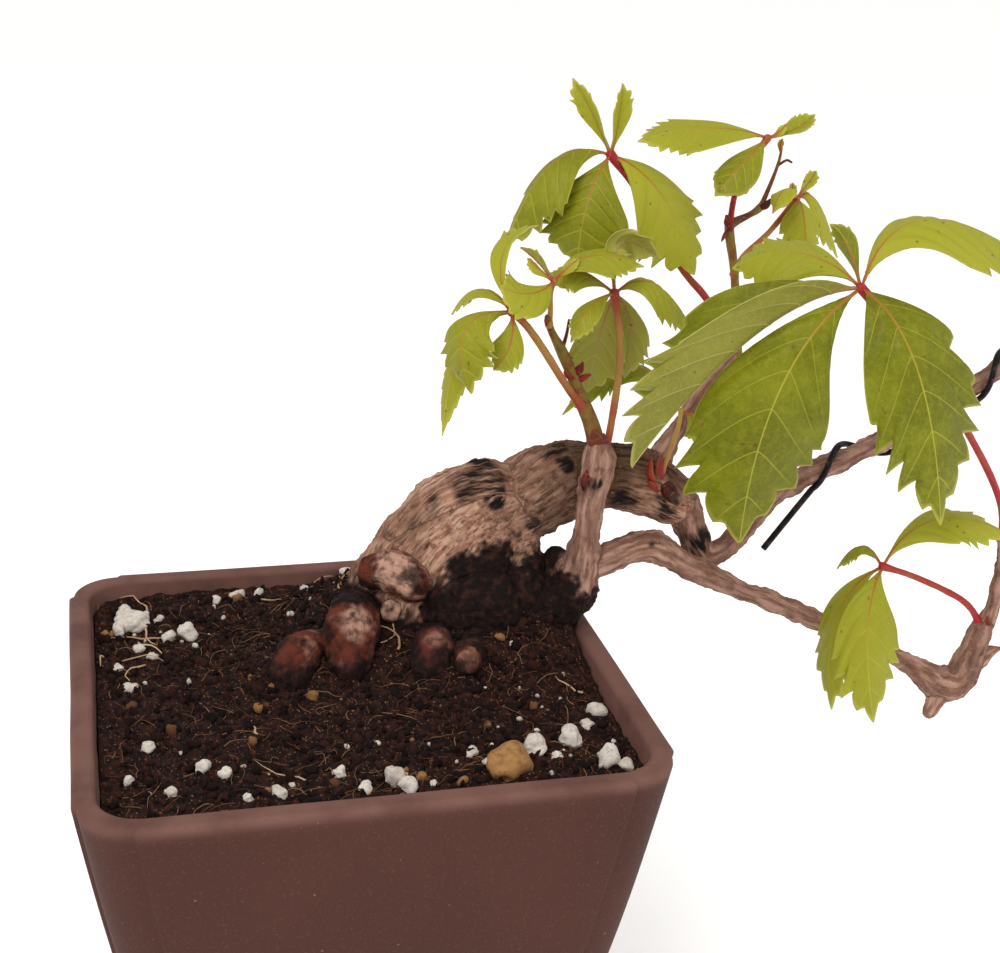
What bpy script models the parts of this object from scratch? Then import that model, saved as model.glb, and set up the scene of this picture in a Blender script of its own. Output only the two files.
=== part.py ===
# A woodbine bonsai in a square training pot.
#
# Frame: the origin is the centre of the pot's flat underside, +Z is up, +X runs along the
# pot's front face, the way the tree leans, and +Y points to the back. Units are metres.
# Lists of places and radii are written in millimetres, for the pot in DRAWN_FOR, and planted()
# brings them into whatever pot the sizes below give.

import math

import bmesh
import bpy
import numpy as np
from mathutils import Vector

MM = 0.001
CLEARANCE = 0.3 * MM        # kept between pieces that touch

# Pot: square with rounded corners, its walls drawn in towards the foot along a shallow curve.
POT_WIDTH = 140 * MM        # across the rim, outside
POT_HEIGHT = 105 * MM
POT_WALL = 5.6 * MM
POT_FLOOR = 6 * MM
POT_CORNER = 11.5 * MM      # corner radius, outside
POT_CORNER_INSIDE = 11 * MM
POT_TAPER = 0.145           # how fast the wall draws in just below the rim
POT_BELLY = 0.426           # how much faster it does so further down, per metre
PANEL_PROUD = 1.0 * MM      # raised flat panel on each side
PANEL_STEP = 1.3 * MM
RIM_ROUND = 1.5 * MM
FOOT_CHAMFER = 1.5 * MM
CORNER_STEPS = 4

DRAIN_RADIUS = 5 * MM
DRAIN_OFFSET = 22 * MM      # from the middle, along X and along Y

MESH_CELLS = 5              # openings along one side of the drain mesh
MESH_MARGIN = 13.4 * MM     # between the sheet and the foot of the wall
MESH_BAR = 2.5 * MM
MESH_THICKNESS = 0.8 * MM

SOIL_BELOW_RIM = 5.5 * MM
MOUND_PLACE = (44, 20)      # mm; where the soil is heaped against the roots
MOUND_HEIGHT = 7 * MM
MOUND_SPREAD = 24 * MM

# What the lists below were drawn for: where the right and back walls begin inside the rim, from
# the middle of the pot, and the level of the soil.
DRAWN_FOR = (64.4 * MM, 64.4 * MM, 99.5 * MM)

WIRE_RADIUS = 1.15 * MM
WIRE_PITCH = 27.5 * MM
WIRE_TURNS = 2.75
WIRE_TAIL_END = (122, 21, 121)  # mm; the free cut end

LEAF_THICKNESS = 0.7 * MM
PETIOLE_RADIUS = 1.1 * MM
KNUCKLE_RADIUS = 1.7 * MM   # the swollen top of a petiole, where its leaflets meet
BLADE_STALK = 0.9 * MM      # width of a blade at its two ends

# Wood: each limb is a smooth run of round sections, (x, y, z, radius) in mm.
TRUNK = [(24, 34, 94, 21), (28, 36, 106, 21), (35, 34, 120, 20), (46, 31, 132, 15.5),
         (60, 30, 140, 12), (75, 29, 142, 10.5), (87, 28, 140.5, 9.6), (95, 27, 136, 7.5)]
WIRED_BRANCH = [(88, 28, 140, 6), (98, 27, 134, 5.5), (102, 27, 125, 4.6), (107, 27, 118, 3.8),
                (114, 28, 120, 3.4), (123, 29, 130, 3.1), (135, 30, 138, 3), (159, 30, 148, 2.9),
                (182, 30, 161, 2.8), (196, 30, 170, 2.7), (203, 30, 175, 2.6)]
UPRIGHT_BRANCH = [(88, 28, 140, 5), (96, 31, 152, 2.8), (106, 35, 164, 2.3), (115, 36, 175, 2)]
SECOND_STEM = [(42, 24, 101, 11), (53, 20, 107, 9.5), (63, 15.5, 113, 6.4), (66, 15.5, 121, 5.2),
               (67, 14, 131, 3.9), (68, 14, 141, 3.9), (70, 15, 151, 4.3)]
LOWER_BRANCH = [(64, 16, 121, 4), (73, 16, 123, 3.9), (84, 17, 126, 4.6), (90, 18, 124, 4.6),
                (97, 18, 119.5, 3.5), (108, 17, 114, 3), (131, 13, 104, 2.8), (161, 6, 90, 2.8),
                (171, 3.5, 83, 4.2), (178, 2, 84, 4.2), (180, 1, 92, 3.4), (182, 0, 101, 3)]
BROKEN_SPUR = [(173, 3, 82, 3.6), (170, 2, 74.5, 2.2)]
TWIG = [(181, 0.5, 98, 2.6), (184.5, 0, 109, 2.1), (185.5, 0, 120, 1.8), (184, 0, 130, 1.7)]
ROOTS = [
    [(34, 28, 106, 15), (38, 20, 110, 14)],                     # soil-clad belly in front
    [(22, 30, 112, 8), (16, 28, 116, 7.5), (13, 26, 114, 6)],   # pale lump at the foot
    [(24, 22, 103, 9), (12, 13, 105, 8), (2, 8, 106, 7)],       # left tuber
    [(6, 9, 103, 6), (-6, 5, 104, 6), (-14, 2, 103.5, 5.2)],    # far left tuber
    [(30, 14, 103, 9), (25, 2, 104, 6.5), (21, -6, 104, 5.2)],  # front tuber
    [(34, 12, 103, 8), (31, 0, 104, 6), (29, -9, 104, 4.6)],    # cut root beside it
]
LIMB_STEPS = 2              # sections between two listed ones

# Green shoots, listed like the limbs.
FRONT_SHOOT = [(70.3, 15.8, 154.1, 2.6), (68, 17.5, 162, 2.2), (65, 18, 169, 1.9), (62, 17, 176, 1.6),
               (58.5, 16, 183, 1.5), (55, 14, 189, 1.0), (53.5, 12.5, 193, 0.8)]
BACK_SHOOT = [(115, 36, 177.1, 1.7), (114, 36, 187, 1.6), (113, 37, 198, 1.5), (111, 38, 210, 1.7),
              (117, 39, 213, 1.2), (120, 40, 214.5, 1.4), (123, 41, 220, 0.9), (125, 41.5, 225, 0.7),
              (126, 42, 230, 0.6)]

# Petioles: how far out of the parent stem's axis each starts, then its way to the hub, in mm.
PETIOLES = {
    "leaf_a": (1.0, [(184, 0, 130.5), (180, -3, 141), (169, -8, 157), (147, -15, 184), (125, -17, 206)]),
    "leaf_c": (6.5, [(115, 37, 178), (105, 38, 191), (98, 39, 199), (85, 39, 219), (76, 38, 230)]),
    "leaf_d": (0.4, [(73.4, 19, 156.5), (75, 20, 166), (75.5, 19, 177), (74.5, 17.5, 187), (72, 16, 198)]),
    "leaf_e": (6.5, [(66, 18, 166), (59, 13.5, 175), (52, 8, 185), (46, 3.5, 193), (41, 1, 198)]),
    "leaf_f": (1.0, [(54, 12.2, 194.8), (53.5, 11, 199.5), (54, 10, 203)]),
    "leaf_g": (3.4, [(111, 38, 210), (111.5, 37.5, 218), (113.5, 37.5, 225), (120, 38, 234)]),
    "leaf_h": (3.6, [(113, 37, 197), (117, 41, 201), (125, 43.5, 207), (133, 45, 216)]),
    "leaf_i": (3.7, [(182, 0, 101), (176, -1, 109), (168, -2, 114.5), (157, -2.5, 120), (147, -3, 124)]),
    "leaf_j": (12.0, [(88, 28, 141), (91, 19, 152), (95, 24, 157.5), (97, 28, 161)]),
}

# Leaflets: middle of the midrib, tip, the way the upper side faces, width in mm, and the fold of
# the two halves in degrees (above zero they hang like a roof, below zero they stand like a boat).
LEAFLETS = {
    "leaf_a": [
        ((103, -24, 183), (102, -9, 136), (-0.1, -0.8, 0.6), 32, 14),
        ((97, -18, 195), (72, -6, 158), (-0.3, -0.2, 0.9), 30, -48),
        ((113, -4, 212), (100, 6, 206), (0, -0.3, 1), 18, 16),
        ((129, 2, 213), (128, 11, 216), (-0.7, -0.4, 0.6), 7, 20),
        ((134, -34, 189), (147, -31, 147), (-0.1, -0.8, 0.6), 28, 14),
        ((148, -9, 221), (192, -2, 199), (-0.2, -0.3, 1), 25, 22),
    ],
    "leaf_c": [
        ((70, 36, 241), (64, 36, 250), (-0.8, -0.4, 0.5), 7, -25),
        ((77, 36, 240), (77, 34, 249), (0.3, -0.8, 0.5), 7, -25),
        ((60, 39, 227), (48, 38, 205), (-0.6, -0.2, 0.8), 20, 22),
        ((68, 31, 218), (66, 30, 202), (-0.3, -0.7, 0.7), 23, 16),
        ((90, 34, 219), (100, 33, 198), (0.1, -0.7, 0.7), 22, 14),
    ],
    "leaf_d": [
        ((83, 15, 200), (95, 17, 186), (0.3, -0.4, 0.9), 15, 22),
        ((71, 24, 184), (69, 26, 168), (0.1, 0.9, 0.3), 16, 12),
        ((80, 25, 187), (80, 28, 171), (0.5, 0.8, 0.3), 11, 12),
        ((63, 8, 196), (58, 6, 188), (-0.4, -0.4, 0.8), 8, 10),
        ((61, 14, 204), (54, 13, 201), (-0.2, -0.5, 0.8), 10, 20),
        ((75, 21, 210), (85, 19, 206), (0.4, 0.8, 0.5), 11, 15),
    ],
    "leaf_e": [
        ((28, -5, 195), (30, -5, 179), (-0.6, -0.5, 0.7), 15, 16),
        ((30, 6, 188), (25, 5, 165), (-0.6, -0.6, 0.5), 7, 25),
        ((40, -2, 190), (36, -2, 184), (0, -0.8, 0.6), 9, 15),
        ((34, 8, 202), (28, 11, 195), (-0.3, 0.2, 0.9), 10, 16),
        ((40, 7, 211), (50, 12, 217), (-0.9, -0.2, 0.4), 10, -20),
    ],
    "leaf_f": [
        ((46, 2, 202), (37, -2, 205), (-0.3, -0.7, 0.6), 12, 8),
        ((50, 11, 208), (45, 10, 212), (-0.3, 0.1, 0.9), 5, -30),
        ((64, 11, 209), (78, 11, 206), (0, -0.4, 0.9), 12, 16),
    ],
    "leaf_g": [
        ((101, 36, 237), (82, 34, 234), (-0.2, -0.5, 0.8), 14, 12),
        ((111, 32, 228), (103, 30, 220), (-0.4, -0.6, 0.7), 12, 12),
        ((128, 39, 236), (134, 40, 240), (0.2, -0.3, 0.9), 7, -25),
    ],
    "leaf_h": [
        ((126, 37.5, 220), (122, 35, 214), (-0.5, -0.2, 0.8), 8, 12),
        ((137, 47, 220), (140, 49, 223), (0.3, -0.6, 0.8), 4, -20),
        ((141, 48, 214), (149, 49, 198), (0.6, -0.4, 0.7), 13, 20),
        ((133, 39, 212), (135, 38, 198), (0, -0.9, 0.4), 13, 24),
    ],
    "leaf_i": [
        ((160, -6, 138), (181, -10, 133), (-0.3, -0.3, 1), 15, 16),
        ((140, -12, 110), (144, -14, 82), (-0.1, -0.7, 0.7), 17, 14),
        ((137, 1, 107), (139, 2, 78), (-0.8, -0.4, 0.5), 12, 14),
        ((142, 2, 128), (137, 4, 121), (-0.3, 0.2, 0.9), 8, 16),
    ],
    "leaf_j": [
        ((82, 33, 173), (65, 35, 159), (-0.2, -0.2, 1), 13, 16),
        ((101, 25, 158), (102, 23, 152), (0.2, -0.6, 0.8), 8, 12),
    ],
}
BLADE_LIFT = 0.6            # how far up round the knuckle a blade is seated
BLADE_LENGTHS = 7           # divisions along a blade
BLADE_RISE = 1.1            # exponents of the blade's outline, at the hub end
BLADE_FALL = 0.6            # and at the tip

# Loose stones on the soil: distances in mm from the right or (below zero) left wall and from the
# back or (below zero) front wall, and half-sizes in mm.
STONES = {
    "akadama_lump": ((33.4, -12.4), (6.0, 4.4, 4.0)),
    "pumice_grain_1": ((25.4, -21.4), (4.0, 3.0, 2.6)),
    "pumice_grain_2": ((15.4, -25.4), (3.2, 2.6, 2.3)),
    "pumice_grain_3": ((-11.4, 18.4), (5.2, 4.0, 3.0)),
}

COLOURS = {
    "pot": ((0.13, 0.055, 0.045), 0.75),
    "drain_mesh": ((0.02, 0.02, 0.02), 0.6),
    "soil": ((0.025, 0.012, 0.008), 1.0),
    "wood": ((0.22, 0.15, 0.11), 0.9),
    "wire": ((0.012, 0.012, 0.015), 0.45),
    "shoot": ((0.28, 0.2, 0.07), 0.5),
    "petiole": ((0.42, 0.11, 0.07), 0.5),
    "leaf": ((0.3, 0.4, 0.06), 0.55),
    "akadama": ((0.4, 0.2, 0.08), 0.95),
    "pumice": ((0.75, 0.72, 0.66), 0.95),
}


def clear_scene():
    for thing in list(bpy.data.objects):
        bpy.data.objects.remove(thing, do_unlink=True)


def new_collection(name):
    collection = bpy.data.collections.new(name)
    bpy.context.scene.collection.children.link(collection)
    return collection


def finish_of(name, kind):
    colour, roughness = COLOURS[kind]
    material = bpy.data.materials.new(f"{name}_{kind}")
    material.use_nodes = True
    shader = material.node_tree.nodes["Principled BSDF"]
    shader.inputs["Base Color"].default_value = (*colour, 1)
    shader.inputs["Roughness"].default_value = roughness
    shader.inputs["Metallic"].default_value = 0
    return material


def add_object(name, mesh, collection, kind=None):
    thing = bpy.data.objects.new(name, mesh)
    collection.objects.link(thing)
    if kind:
        mesh.materials.append(finish_of(name, kind))
    return thing


def as_guide(thing):
    thing.hide_render = True
    thing.display_type = "WIRE"
    return thing


# ---- lofts between rounded squares -------------------------------------------------------

def square_ring(half, corner, proud, height):
    """A rounded square with a raised panel on each side, as points at one height."""
    low = half - proud
    panel = low - corner - PANEL_STEP
    ring = []
    for turn in range(4):
        c, s = math.cos(turn * math.pi / 2), math.sin(turn * math.pi / 2)
        side = [(low, -(low - corner)), (half, -panel), (half, panel)]
        for step in range(CORNER_STEPS + 1):
            angle = math.pi / 2 * step / CORNER_STEPS
            side.append((low - corner + corner * math.cos(angle), low - corner + corner * math.sin(angle)))
        side = side[:-1]
        ring += [(c * x - s * y, s * x + c * y, height) for x, y in side]
    return ring


def loft(name, rings):
    """Quads between neighbouring rings, and a flat face on the first and the last."""
    mesh = bpy.data.meshes.new(name)
    bm = bmesh.new()
    rows = [[bm.verts.new(point) for point in ring] for ring in rings]
    count = len(rings[0])
    for lower, upper in zip(rows, rows[1:]):
        for k in range(count):
            bm.faces.new((lower[k], lower[(k + 1) % count], upper[(k + 1) % count], upper[k]))
    bm.faces.new(list(reversed(rows[0])))
    bm.faces.new(rows[-1])
    bm.to_mesh(mesh)
    bm.free()
    return mesh


def outer_half(depth):
    """Half the pot's outside width at a depth below the rim."""
    return POT_WIDTH / 2 - POT_TAPER * depth - POT_BELLY * depth ** 2


def inner_half(depth):
    return outer_half(depth) - POT_WALL


def planted(points):
    """Listed places in metres, kept at their distance from the right and back walls and from the
    soil's level. Columns after the first three, such as a radius, are only scaled."""
    places = np.array(points, float) * MM
    soil_level = POT_HEIGHT - SOIL_BELOW_RIM
    moved = np.array((inner_half(0), inner_half(0), soil_level)) - DRAWN_FOR
    places[..., :3] += moved[:places.shape[-1]]
    return places


def make_pot(parts, guides):
    rings = [square_ring(outer_half(POT_HEIGHT) - FOOT_CHAMFER, POT_CORNER, PANEL_PROUD, 0)]
    wall_bottom = POT_HEIGHT - FOOT_CHAMFER
    for share in (1, 0.8, 0.6, 0.4, 0.2):
        depth = RIM_ROUND + share * (wall_bottom - RIM_ROUND)
        rings.append(square_ring(outer_half(depth), POT_CORNER, PANEL_PROUD, POT_HEIGHT - depth))
    rings.append(square_ring(outer_half(RIM_ROUND), POT_CORNER, PANEL_PROUD, POT_HEIGHT - RIM_ROUND))
    rings.append(square_ring(outer_half(0) - 0.3 * RIM_ROUND, POT_CORNER, PANEL_PROUD,
                             POT_HEIGHT - 0.3 * RIM_ROUND))
    rings.append(square_ring(outer_half(0) - RIM_ROUND, POT_CORNER, PANEL_PROUD, POT_HEIGHT))
    rings.append(square_ring(inner_half(0) + RIM_ROUND, POT_CORNER_INSIDE, 0, POT_HEIGHT))
    rings.append(square_ring(inner_half(0) + 0.3 * RIM_ROUND, POT_CORNER_INSIDE, 0,
                             POT_HEIGHT - 0.3 * RIM_ROUND))
    for depth_share in (0, 0.33, 0.66, 1):
        depth = RIM_ROUND + depth_share * (POT_HEIGHT - POT_FLOOR - RIM_ROUND)
        rings.append(square_ring(inner_half(depth), POT_CORNER_INSIDE, 0, POT_HEIGHT - depth))
    pot = add_object("pot", loft("pot", rings), parts, "pot")
    pot.data.shade_smooth()
    pot.data.set_sharp_from_angle(angle=math.radians(40))
    for x in (-DRAIN_OFFSET, DRAIN_OFFSET):
        for y in (-DRAIN_OFFSET, DRAIN_OFFSET):
            bpy.ops.mesh.primitive_cylinder_add(vertices=20, radius=DRAIN_RADIUS, depth=4 * POT_FLOOR,
                                                location=(x, y, 0))
            drill = as_guide(bpy.context.object)
            drill.name = "drain_drill"
            move_to(drill, guides)
            cut = pot.modifiers.new("drain hole", "BOOLEAN")
            cut.operation = "DIFFERENCE"
            cut.solver = "EXACT"
            cut.object = drill


def move_to(thing, collection):
    for holder in list(thing.users_collection):
        holder.objects.unlink(thing)
    collection.objects.link(thing)


def make_drain_mesh(parts):
    """A woven plastic sheet: a grid whose odd cells are open, given its thickness."""
    cells = 2 * MESH_CELLS + 1
    side = 2 * (inner_half(POT_HEIGHT - POT_FLOOR) - MESH_MARGIN)
    pitch = (side - MESH_BAR) / MESH_CELLS

    def spread(index):
        return (index // 2) * pitch + (index % 2) * MESH_BAR - side / 2

    mesh = bpy.data.meshes.new("drain_mesh")
    bm = bmesh.new()
    bmesh.ops.create_grid(bm, x_segments=cells, y_segments=cells, size=cells / 2)
    middle = cells / 2
    openings = [face for face in bm.faces
                if all(int(part + middle) % 2 for part in face.calc_center_median()[:2])]
    bmesh.ops.delete(bm, geom=openings, context="FACES_ONLY")
    for vertex in bm.verts:
        vertex.co = (spread(round(vertex.co.x + middle)), spread(round(vertex.co.y + middle)), 0)
    bm.to_mesh(mesh)
    bm.free()
    sheet = add_object("drain_mesh", mesh, parts, "drain_mesh")
    sheet.location.z = POT_FLOOR + CLEARANCE + MESH_THICKNESS / 2
    wall = sheet.modifiers.new("thickness", "SOLIDIFY")
    wall.thickness = MESH_THICKNESS
    wall.offset = 0


def soil_height(x, y):
    """Level soil with one soft heap where the roots break the surface."""
    heap_x, heap_y = planted(MOUND_PLACE)
    reach = math.hypot(x - heap_x, y - heap_y) / MOUND_SPREAD
    return POT_HEIGHT - SOIL_BELOW_RIM + MOUND_HEIGHT * math.exp(-reach ** 2)


def make_soil(parts, roots):
    bottom = POT_FLOOR + 2 * CLEARANCE + MESH_THICKNESS
    rings = []
    for share in (0, 0.25, 0.5, 0.75):
        height = bottom + share * (POT_HEIGHT - SOIL_BELOW_RIM - bottom)
        rings.append(square_ring(inner_half(POT_HEIGHT - height) - CLEARANCE, POT_CORNER_INSIDE, 0, height))
    edge = square_ring(inner_half(SOIL_BELOW_RIM) - 2 * CLEARANCE, POT_CORNER_INSIDE, 0, 0)
    for share in (1, 0.88, 0.75, 0.62, 0.5, 0.37, 0.25, 0.12, 0.04):
        ring = [(x * share, y * share) for x, y, _ in edge]
        rings.append([(x, y, soil_height(x, y)) for x, y in ring])
    soil = add_object("soil", loft("soil", rings), parts, "soil")
    socket = soil.modifiers.new("root sockets", "BOOLEAN")
    socket.operation = "DIFFERENCE"
    socket.solver = "EXACT"
    socket.operand_type = "COLLECTION"
    socket.collection = roots
    socket.use_self = True


# ---- tubes along smooth paths -------------------------------------------------------------

def smooth_path(points, steps):
    """A Catmull-Rom curve through the listed points, all their columns carried along."""
    listed = np.array(points, float)
    padded = np.vstack([2 * listed[0] - listed[1], listed, 2 * listed[-1] - listed[-2]])
    path = []
    for k in range(1, len(padded) - 2):
        a, b, c, d = padded[k - 1:k + 3]
        for step in range(steps):
            t = step / steps
            path.append(0.5 * (2 * b + (c - a) * t + (2 * a - 5 * b + 4 * c - d) * t ** 2
                               + (3 * b - a - 3 * c + d) * t ** 3))
    path.append(listed[-1])
    return np.array(path)


def tube(name, path, collection, kind=None, sides_level=2):
    """A round tube along a path of (x, y, z, radius) rows, with closed ends, as a mesh object."""
    curve = bpy.data.curves.new(name, "CURVE")
    curve.dimensions = "3D"
    curve.bevel_depth = 1.0
    curve.bevel_resolution = sides_level
    curve.use_fill_caps = True
    spline = curve.splines.new("POLY")
    spline.points.add(len(path) - 1)
    for point, row in zip(spline.points, path):
        point.co = (row[0], row[1], row[2], 1)
        point.radius = row[3]
    source = bpy.data.objects.new(name + "_path", curve)
    bpy.context.scene.collection.objects.link(source)
    graph = bpy.context.evaluated_depsgraph_get()
    mesh = bpy.data.meshes.new_from_object(source.evaluated_get(graph))
    mesh.name = name
    bm = bmesh.new()
    bm.from_mesh(mesh)
    bmesh.ops.remove_doubles(bm, verts=bm.verts, dist=0.00001)
    bmesh.ops.recalc_face_normals(bm, faces=bm.faces)
    bm.to_mesh(mesh)
    bm.free()
    thing = add_object(name, mesh, collection, kind)
    thing.matrix_world = source.matrix_world
    bpy.data.objects.remove(source, do_unlink=True)
    mesh.shade_smooth()
    return thing


def limb_path(points, growth=0.0):
    """A limb's sections in metres, its ends rounded off; growth thickens and lengthens it."""
    path = smooth_path(planted(points), LIMB_STEPS)
    path[:, 3] += growth
    first = path[0, :3] - path[1, :3]
    last = path[-1, :3] - path[-2, :3]
    ends = []
    for row, way in ((path[0], first), (path[-1], last)):
        reach = 0.35 * row[3] + growth
        place = row[:3] + way / np.linalg.norm(way) * reach
        ends.append(np.append(place, 0.7 * row[3]))
    return np.vstack([ends[0], path, ends[1]])


def make_wood(parts, limbs, roots):
    """Trunk, roots and branches, which grew as one piece, and the soil's sockets for them."""
    trunk = tube("trunk_and_branches", limb_path(TRUNK), parts, "wood", 4)
    others = [WIRED_BRANCH, UPRIGHT_BRANCH, SECOND_STEM, LOWER_BRANCH, BROKEN_SPUR, TWIG, *ROOTS]
    for points in others:
        as_guide(tube("limb", limb_path(points), limbs, None, 3))
    join = trunk.modifiers.new("limbs", "BOOLEAN")
    join.operation = "UNION"
    join.solver = "EXACT"
    join.operand_type = "COLLECTION"
    join.collection = limbs
    join.use_self = True
    as_guide(tube("socket", limb_path(TRUNK, CLEARANCE), roots, None, 4))
    for points in (SECOND_STEM, *ROOTS):
        as_guide(tube("socket", limb_path(points, CLEARANCE), roots, None, 3))


# ---- training wire --------------------------------------------------------------------------

def make_wire(parts):
    """A coil round the wired branch, with a straight tail before its first turn."""
    branch = smooth_path(planted(WIRED_BRANCH), 8)
    spans = np.linalg.norm(np.diff(branch[:, :3], axis=0), axis=1)
    along = np.concatenate([[0], np.cumsum(spans)])
    end = along[-1]
    start = end - WIRE_TURNS * WIRE_PITCH
    per_turn = 14
    count = int(WIRE_TURNS * per_turn) + 1
    stations = np.linspace(start, end - 2 * WIRE_RADIUS, count)
    centre = np.array([[np.interp(s, along, branch[:, k]) for k in range(4)] for s in stations])
    step = np.gradient(centre[:, :3], axis=0)
    forward = step / np.linalg.norm(step, axis=1)[:, None]
    front = np.array([0.0, -1.0, 0.0]) - forward * -forward[:, 1:2]
    front /= np.linalg.norm(front, axis=1)[:, None]
    upper = np.cross(forward, front)
    upper *= np.sign(upper[:, 2:3])
    angle = -0.3 * math.pi + 2 * math.pi * (stations - start) / WIRE_PITCH
    reach = (centre[:, 3] + CLEARANCE + WIRE_RADIUS)[:, None]
    coil = centre[:, :3] + reach * (np.cos(angle)[:, None] * front + np.sin(angle)[:, None] * upper)
    route = smooth_path([planted(WIRE_TAIL_END), coil[0], coil[2]], 4)
    path = np.vstack([route[:4], coil])
    path = np.column_stack([path, np.full(len(path), WIRE_RADIUS)])
    tube("training_wire", path, parts, "wire", 1)


# ---- leaves ----------------------------------------------------------------------------------

def make_petiole(leaf, parts):
    """A leaf stalk, started clear of its parent's side and swollen at the hub."""
    start, points = PETIOLES[leaf]
    path = smooth_path(planted(points), 3)
    covered = np.linalg.norm(path - path[0], axis=1) < start * MM + PETIOLE_RADIUS
    way = path[1] - path[0]
    first = path[0] + way / np.linalg.norm(way) * start * MM
    last = path[-1] - path[-2]
    last /= np.linalg.norm(last)
    swell = path[-1] - last * KNUCKLE_RADIUS
    crown = path[-1] + last * 0.7 * KNUCKLE_RADIUS
    path = np.vstack([first, path[~covered][:-1], swell, path[-1], crown])
    radius = np.full(len(path), PETIOLE_RADIUS)
    radius[0] *= 1.25
    radius[-2:] = (0.9 * KNUCKLE_RADIUS, 0.5 * KNUCKLE_RADIUS)
    tube(f"{leaf}_petiole", np.column_stack([path, radius]), parts, "petiole", 1)


def outline(t):
    """A blade's half-width along its midrib, as a share of the widest."""
    peak = BLADE_RISE / (BLADE_RISE + BLADE_FALL)
    most = peak ** BLADE_RISE * (1 - peak) ** BLADE_FALL
    return t ** BLADE_RISE * (1 - t) ** BLADE_FALL / most


def make_leaflet(leaf, number, parts):
    """A thin blade: a grid bent along its midrib and folded about it."""
    middle, tip, facing, width, fold = LEAFLETS[leaf][number]
    hub, middle, tip = (Vector(place) for place in planted((PETIOLES[leaf][1][-1], middle, tip)))
    leaving = (middle - hub).normalized() + BLADE_LIFT * Vector(facing)
    base = hub + leaving.normalized() * (KNUCKLE_RADIUS + CLEARANCE)
    pull = 2 * middle - (base + tip) / 2
    bend = math.radians(fold)
    mesh = bpy.data.meshes.new(f"{leaf}_leaflet_{number + 1}")
    bm = bmesh.new()
    bmesh.ops.create_grid(bm, x_segments=BLADE_LENGTHS, y_segments=2, size=0.5)
    for vertex in bm.verts:
        t = min(max(vertex.co.x + 0.5, 0.0), 1.0)
        across = 2 * vertex.co.y
        place = (1 - t) ** 2 * base + 2 * t * (1 - t) * pull + t ** 2 * tip
        forward = (2 * (1 - t) * (pull - base) + 2 * t * (tip - pull)).normalized()
        side = forward.cross(Vector(facing)).normalized()
        upper = side.cross(forward)
        half = max(width * MM / 2 * outline(t), BLADE_STALK / 2)
        vertex.co = (place + across * half * math.cos(bend) * side
                     - abs(across) * half * math.sin(bend) * upper)
    bm.to_mesh(mesh)
    bm.free()
    blade = add_object(mesh.name, mesh, parts, "leaf")
    wall = blade.modifiers.new("thickness", "SOLIDIFY")
    wall.thickness = LEAF_THICKNESS
    wall.offset = 0


def make_stone(name, parts):
    (from_x_wall, from_y_wall), (a, b, c) = STONES[name]
    x = math.copysign(inner_half(0) - abs(from_x_wall) * MM, from_x_wall)
    y = math.copysign(inner_half(0) - abs(from_y_wall) * MM, from_y_wall)
    mesh = bpy.data.meshes.new(name)
    bm = bmesh.new()
    bmesh.ops.create_icosphere(bm, subdivisions=2, radius=1)
    for vertex in bm.verts:
        vertex.co = (vertex.co.x * a * MM, vertex.co.y * b * MM, vertex.co.z * c * MM)
    bm.to_mesh(mesh)
    bm.free()
    stone = add_object(name, mesh, parts, name.split("_")[0])
    stone.location = (x, y, soil_height(x, y) + CLEARANCE + c * MM)


def main():
    clear_scene()
    parts = new_collection("bonsai_tree_in_pot")
    guides = new_collection("guides")
    limbs = new_collection("limbs")
    roots = new_collection("root_sockets")
    make_pot(parts, guides)
    make_drain_mesh(parts)
    make_wood(parts, limbs, roots)
    make_soil(parts, roots)
    make_wire(parts)
    tube("front_shoot", limb_path(FRONT_SHOOT), parts, "shoot", 1)
    tube("back_shoot", limb_path(BACK_SHOOT), parts, "shoot", 1)
    for leaf in PETIOLES:
        make_petiole(leaf, parts)
        for number in range(len(LEAFLETS[leaf])):
            make_leaflet(leaf, number, parts)
    for name in STONES:
        make_stone(name, parts)


main()
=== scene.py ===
import math

import bpy
import numpy as np
from mathutils import Matrix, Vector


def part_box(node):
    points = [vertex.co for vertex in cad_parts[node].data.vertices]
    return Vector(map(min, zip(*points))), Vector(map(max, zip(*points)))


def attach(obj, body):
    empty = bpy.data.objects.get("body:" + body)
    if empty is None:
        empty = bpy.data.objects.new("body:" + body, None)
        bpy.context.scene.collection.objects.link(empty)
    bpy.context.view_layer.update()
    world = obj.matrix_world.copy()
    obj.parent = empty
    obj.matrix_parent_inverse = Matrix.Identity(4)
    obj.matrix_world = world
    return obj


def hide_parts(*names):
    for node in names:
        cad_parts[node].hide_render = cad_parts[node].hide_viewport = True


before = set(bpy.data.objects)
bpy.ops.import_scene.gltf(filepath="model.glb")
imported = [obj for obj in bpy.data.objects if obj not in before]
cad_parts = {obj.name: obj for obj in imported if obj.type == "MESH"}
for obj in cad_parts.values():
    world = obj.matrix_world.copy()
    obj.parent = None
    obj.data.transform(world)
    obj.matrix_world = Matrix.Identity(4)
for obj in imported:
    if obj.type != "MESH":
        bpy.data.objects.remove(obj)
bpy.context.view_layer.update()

# A woodbine bonsai in a square stoneware pot. Metres; origin under the middle of the pot, +X along
# its front, +Y to the back, +Z up. Lists of places are in millimetres, as (x, y, z) or with a radius.

mm = 0.001
body = "root"
print("frame loaded:", len(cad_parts), "nodes")


# Tools for numbers

def smoothStep(low, high, value):
    # 0 below low, 1 above high and an S curve between them
    share = np.clip((value - low) / (high - low), 0, 1)
    return share * share * (3 - 2 * share)


def unit(vectors):
    # each vector over its length
    length = np.linalg.norm(vectors, axis=-1, keepdims=True)
    return vectors / np.maximum(length, 1e-12)


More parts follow.
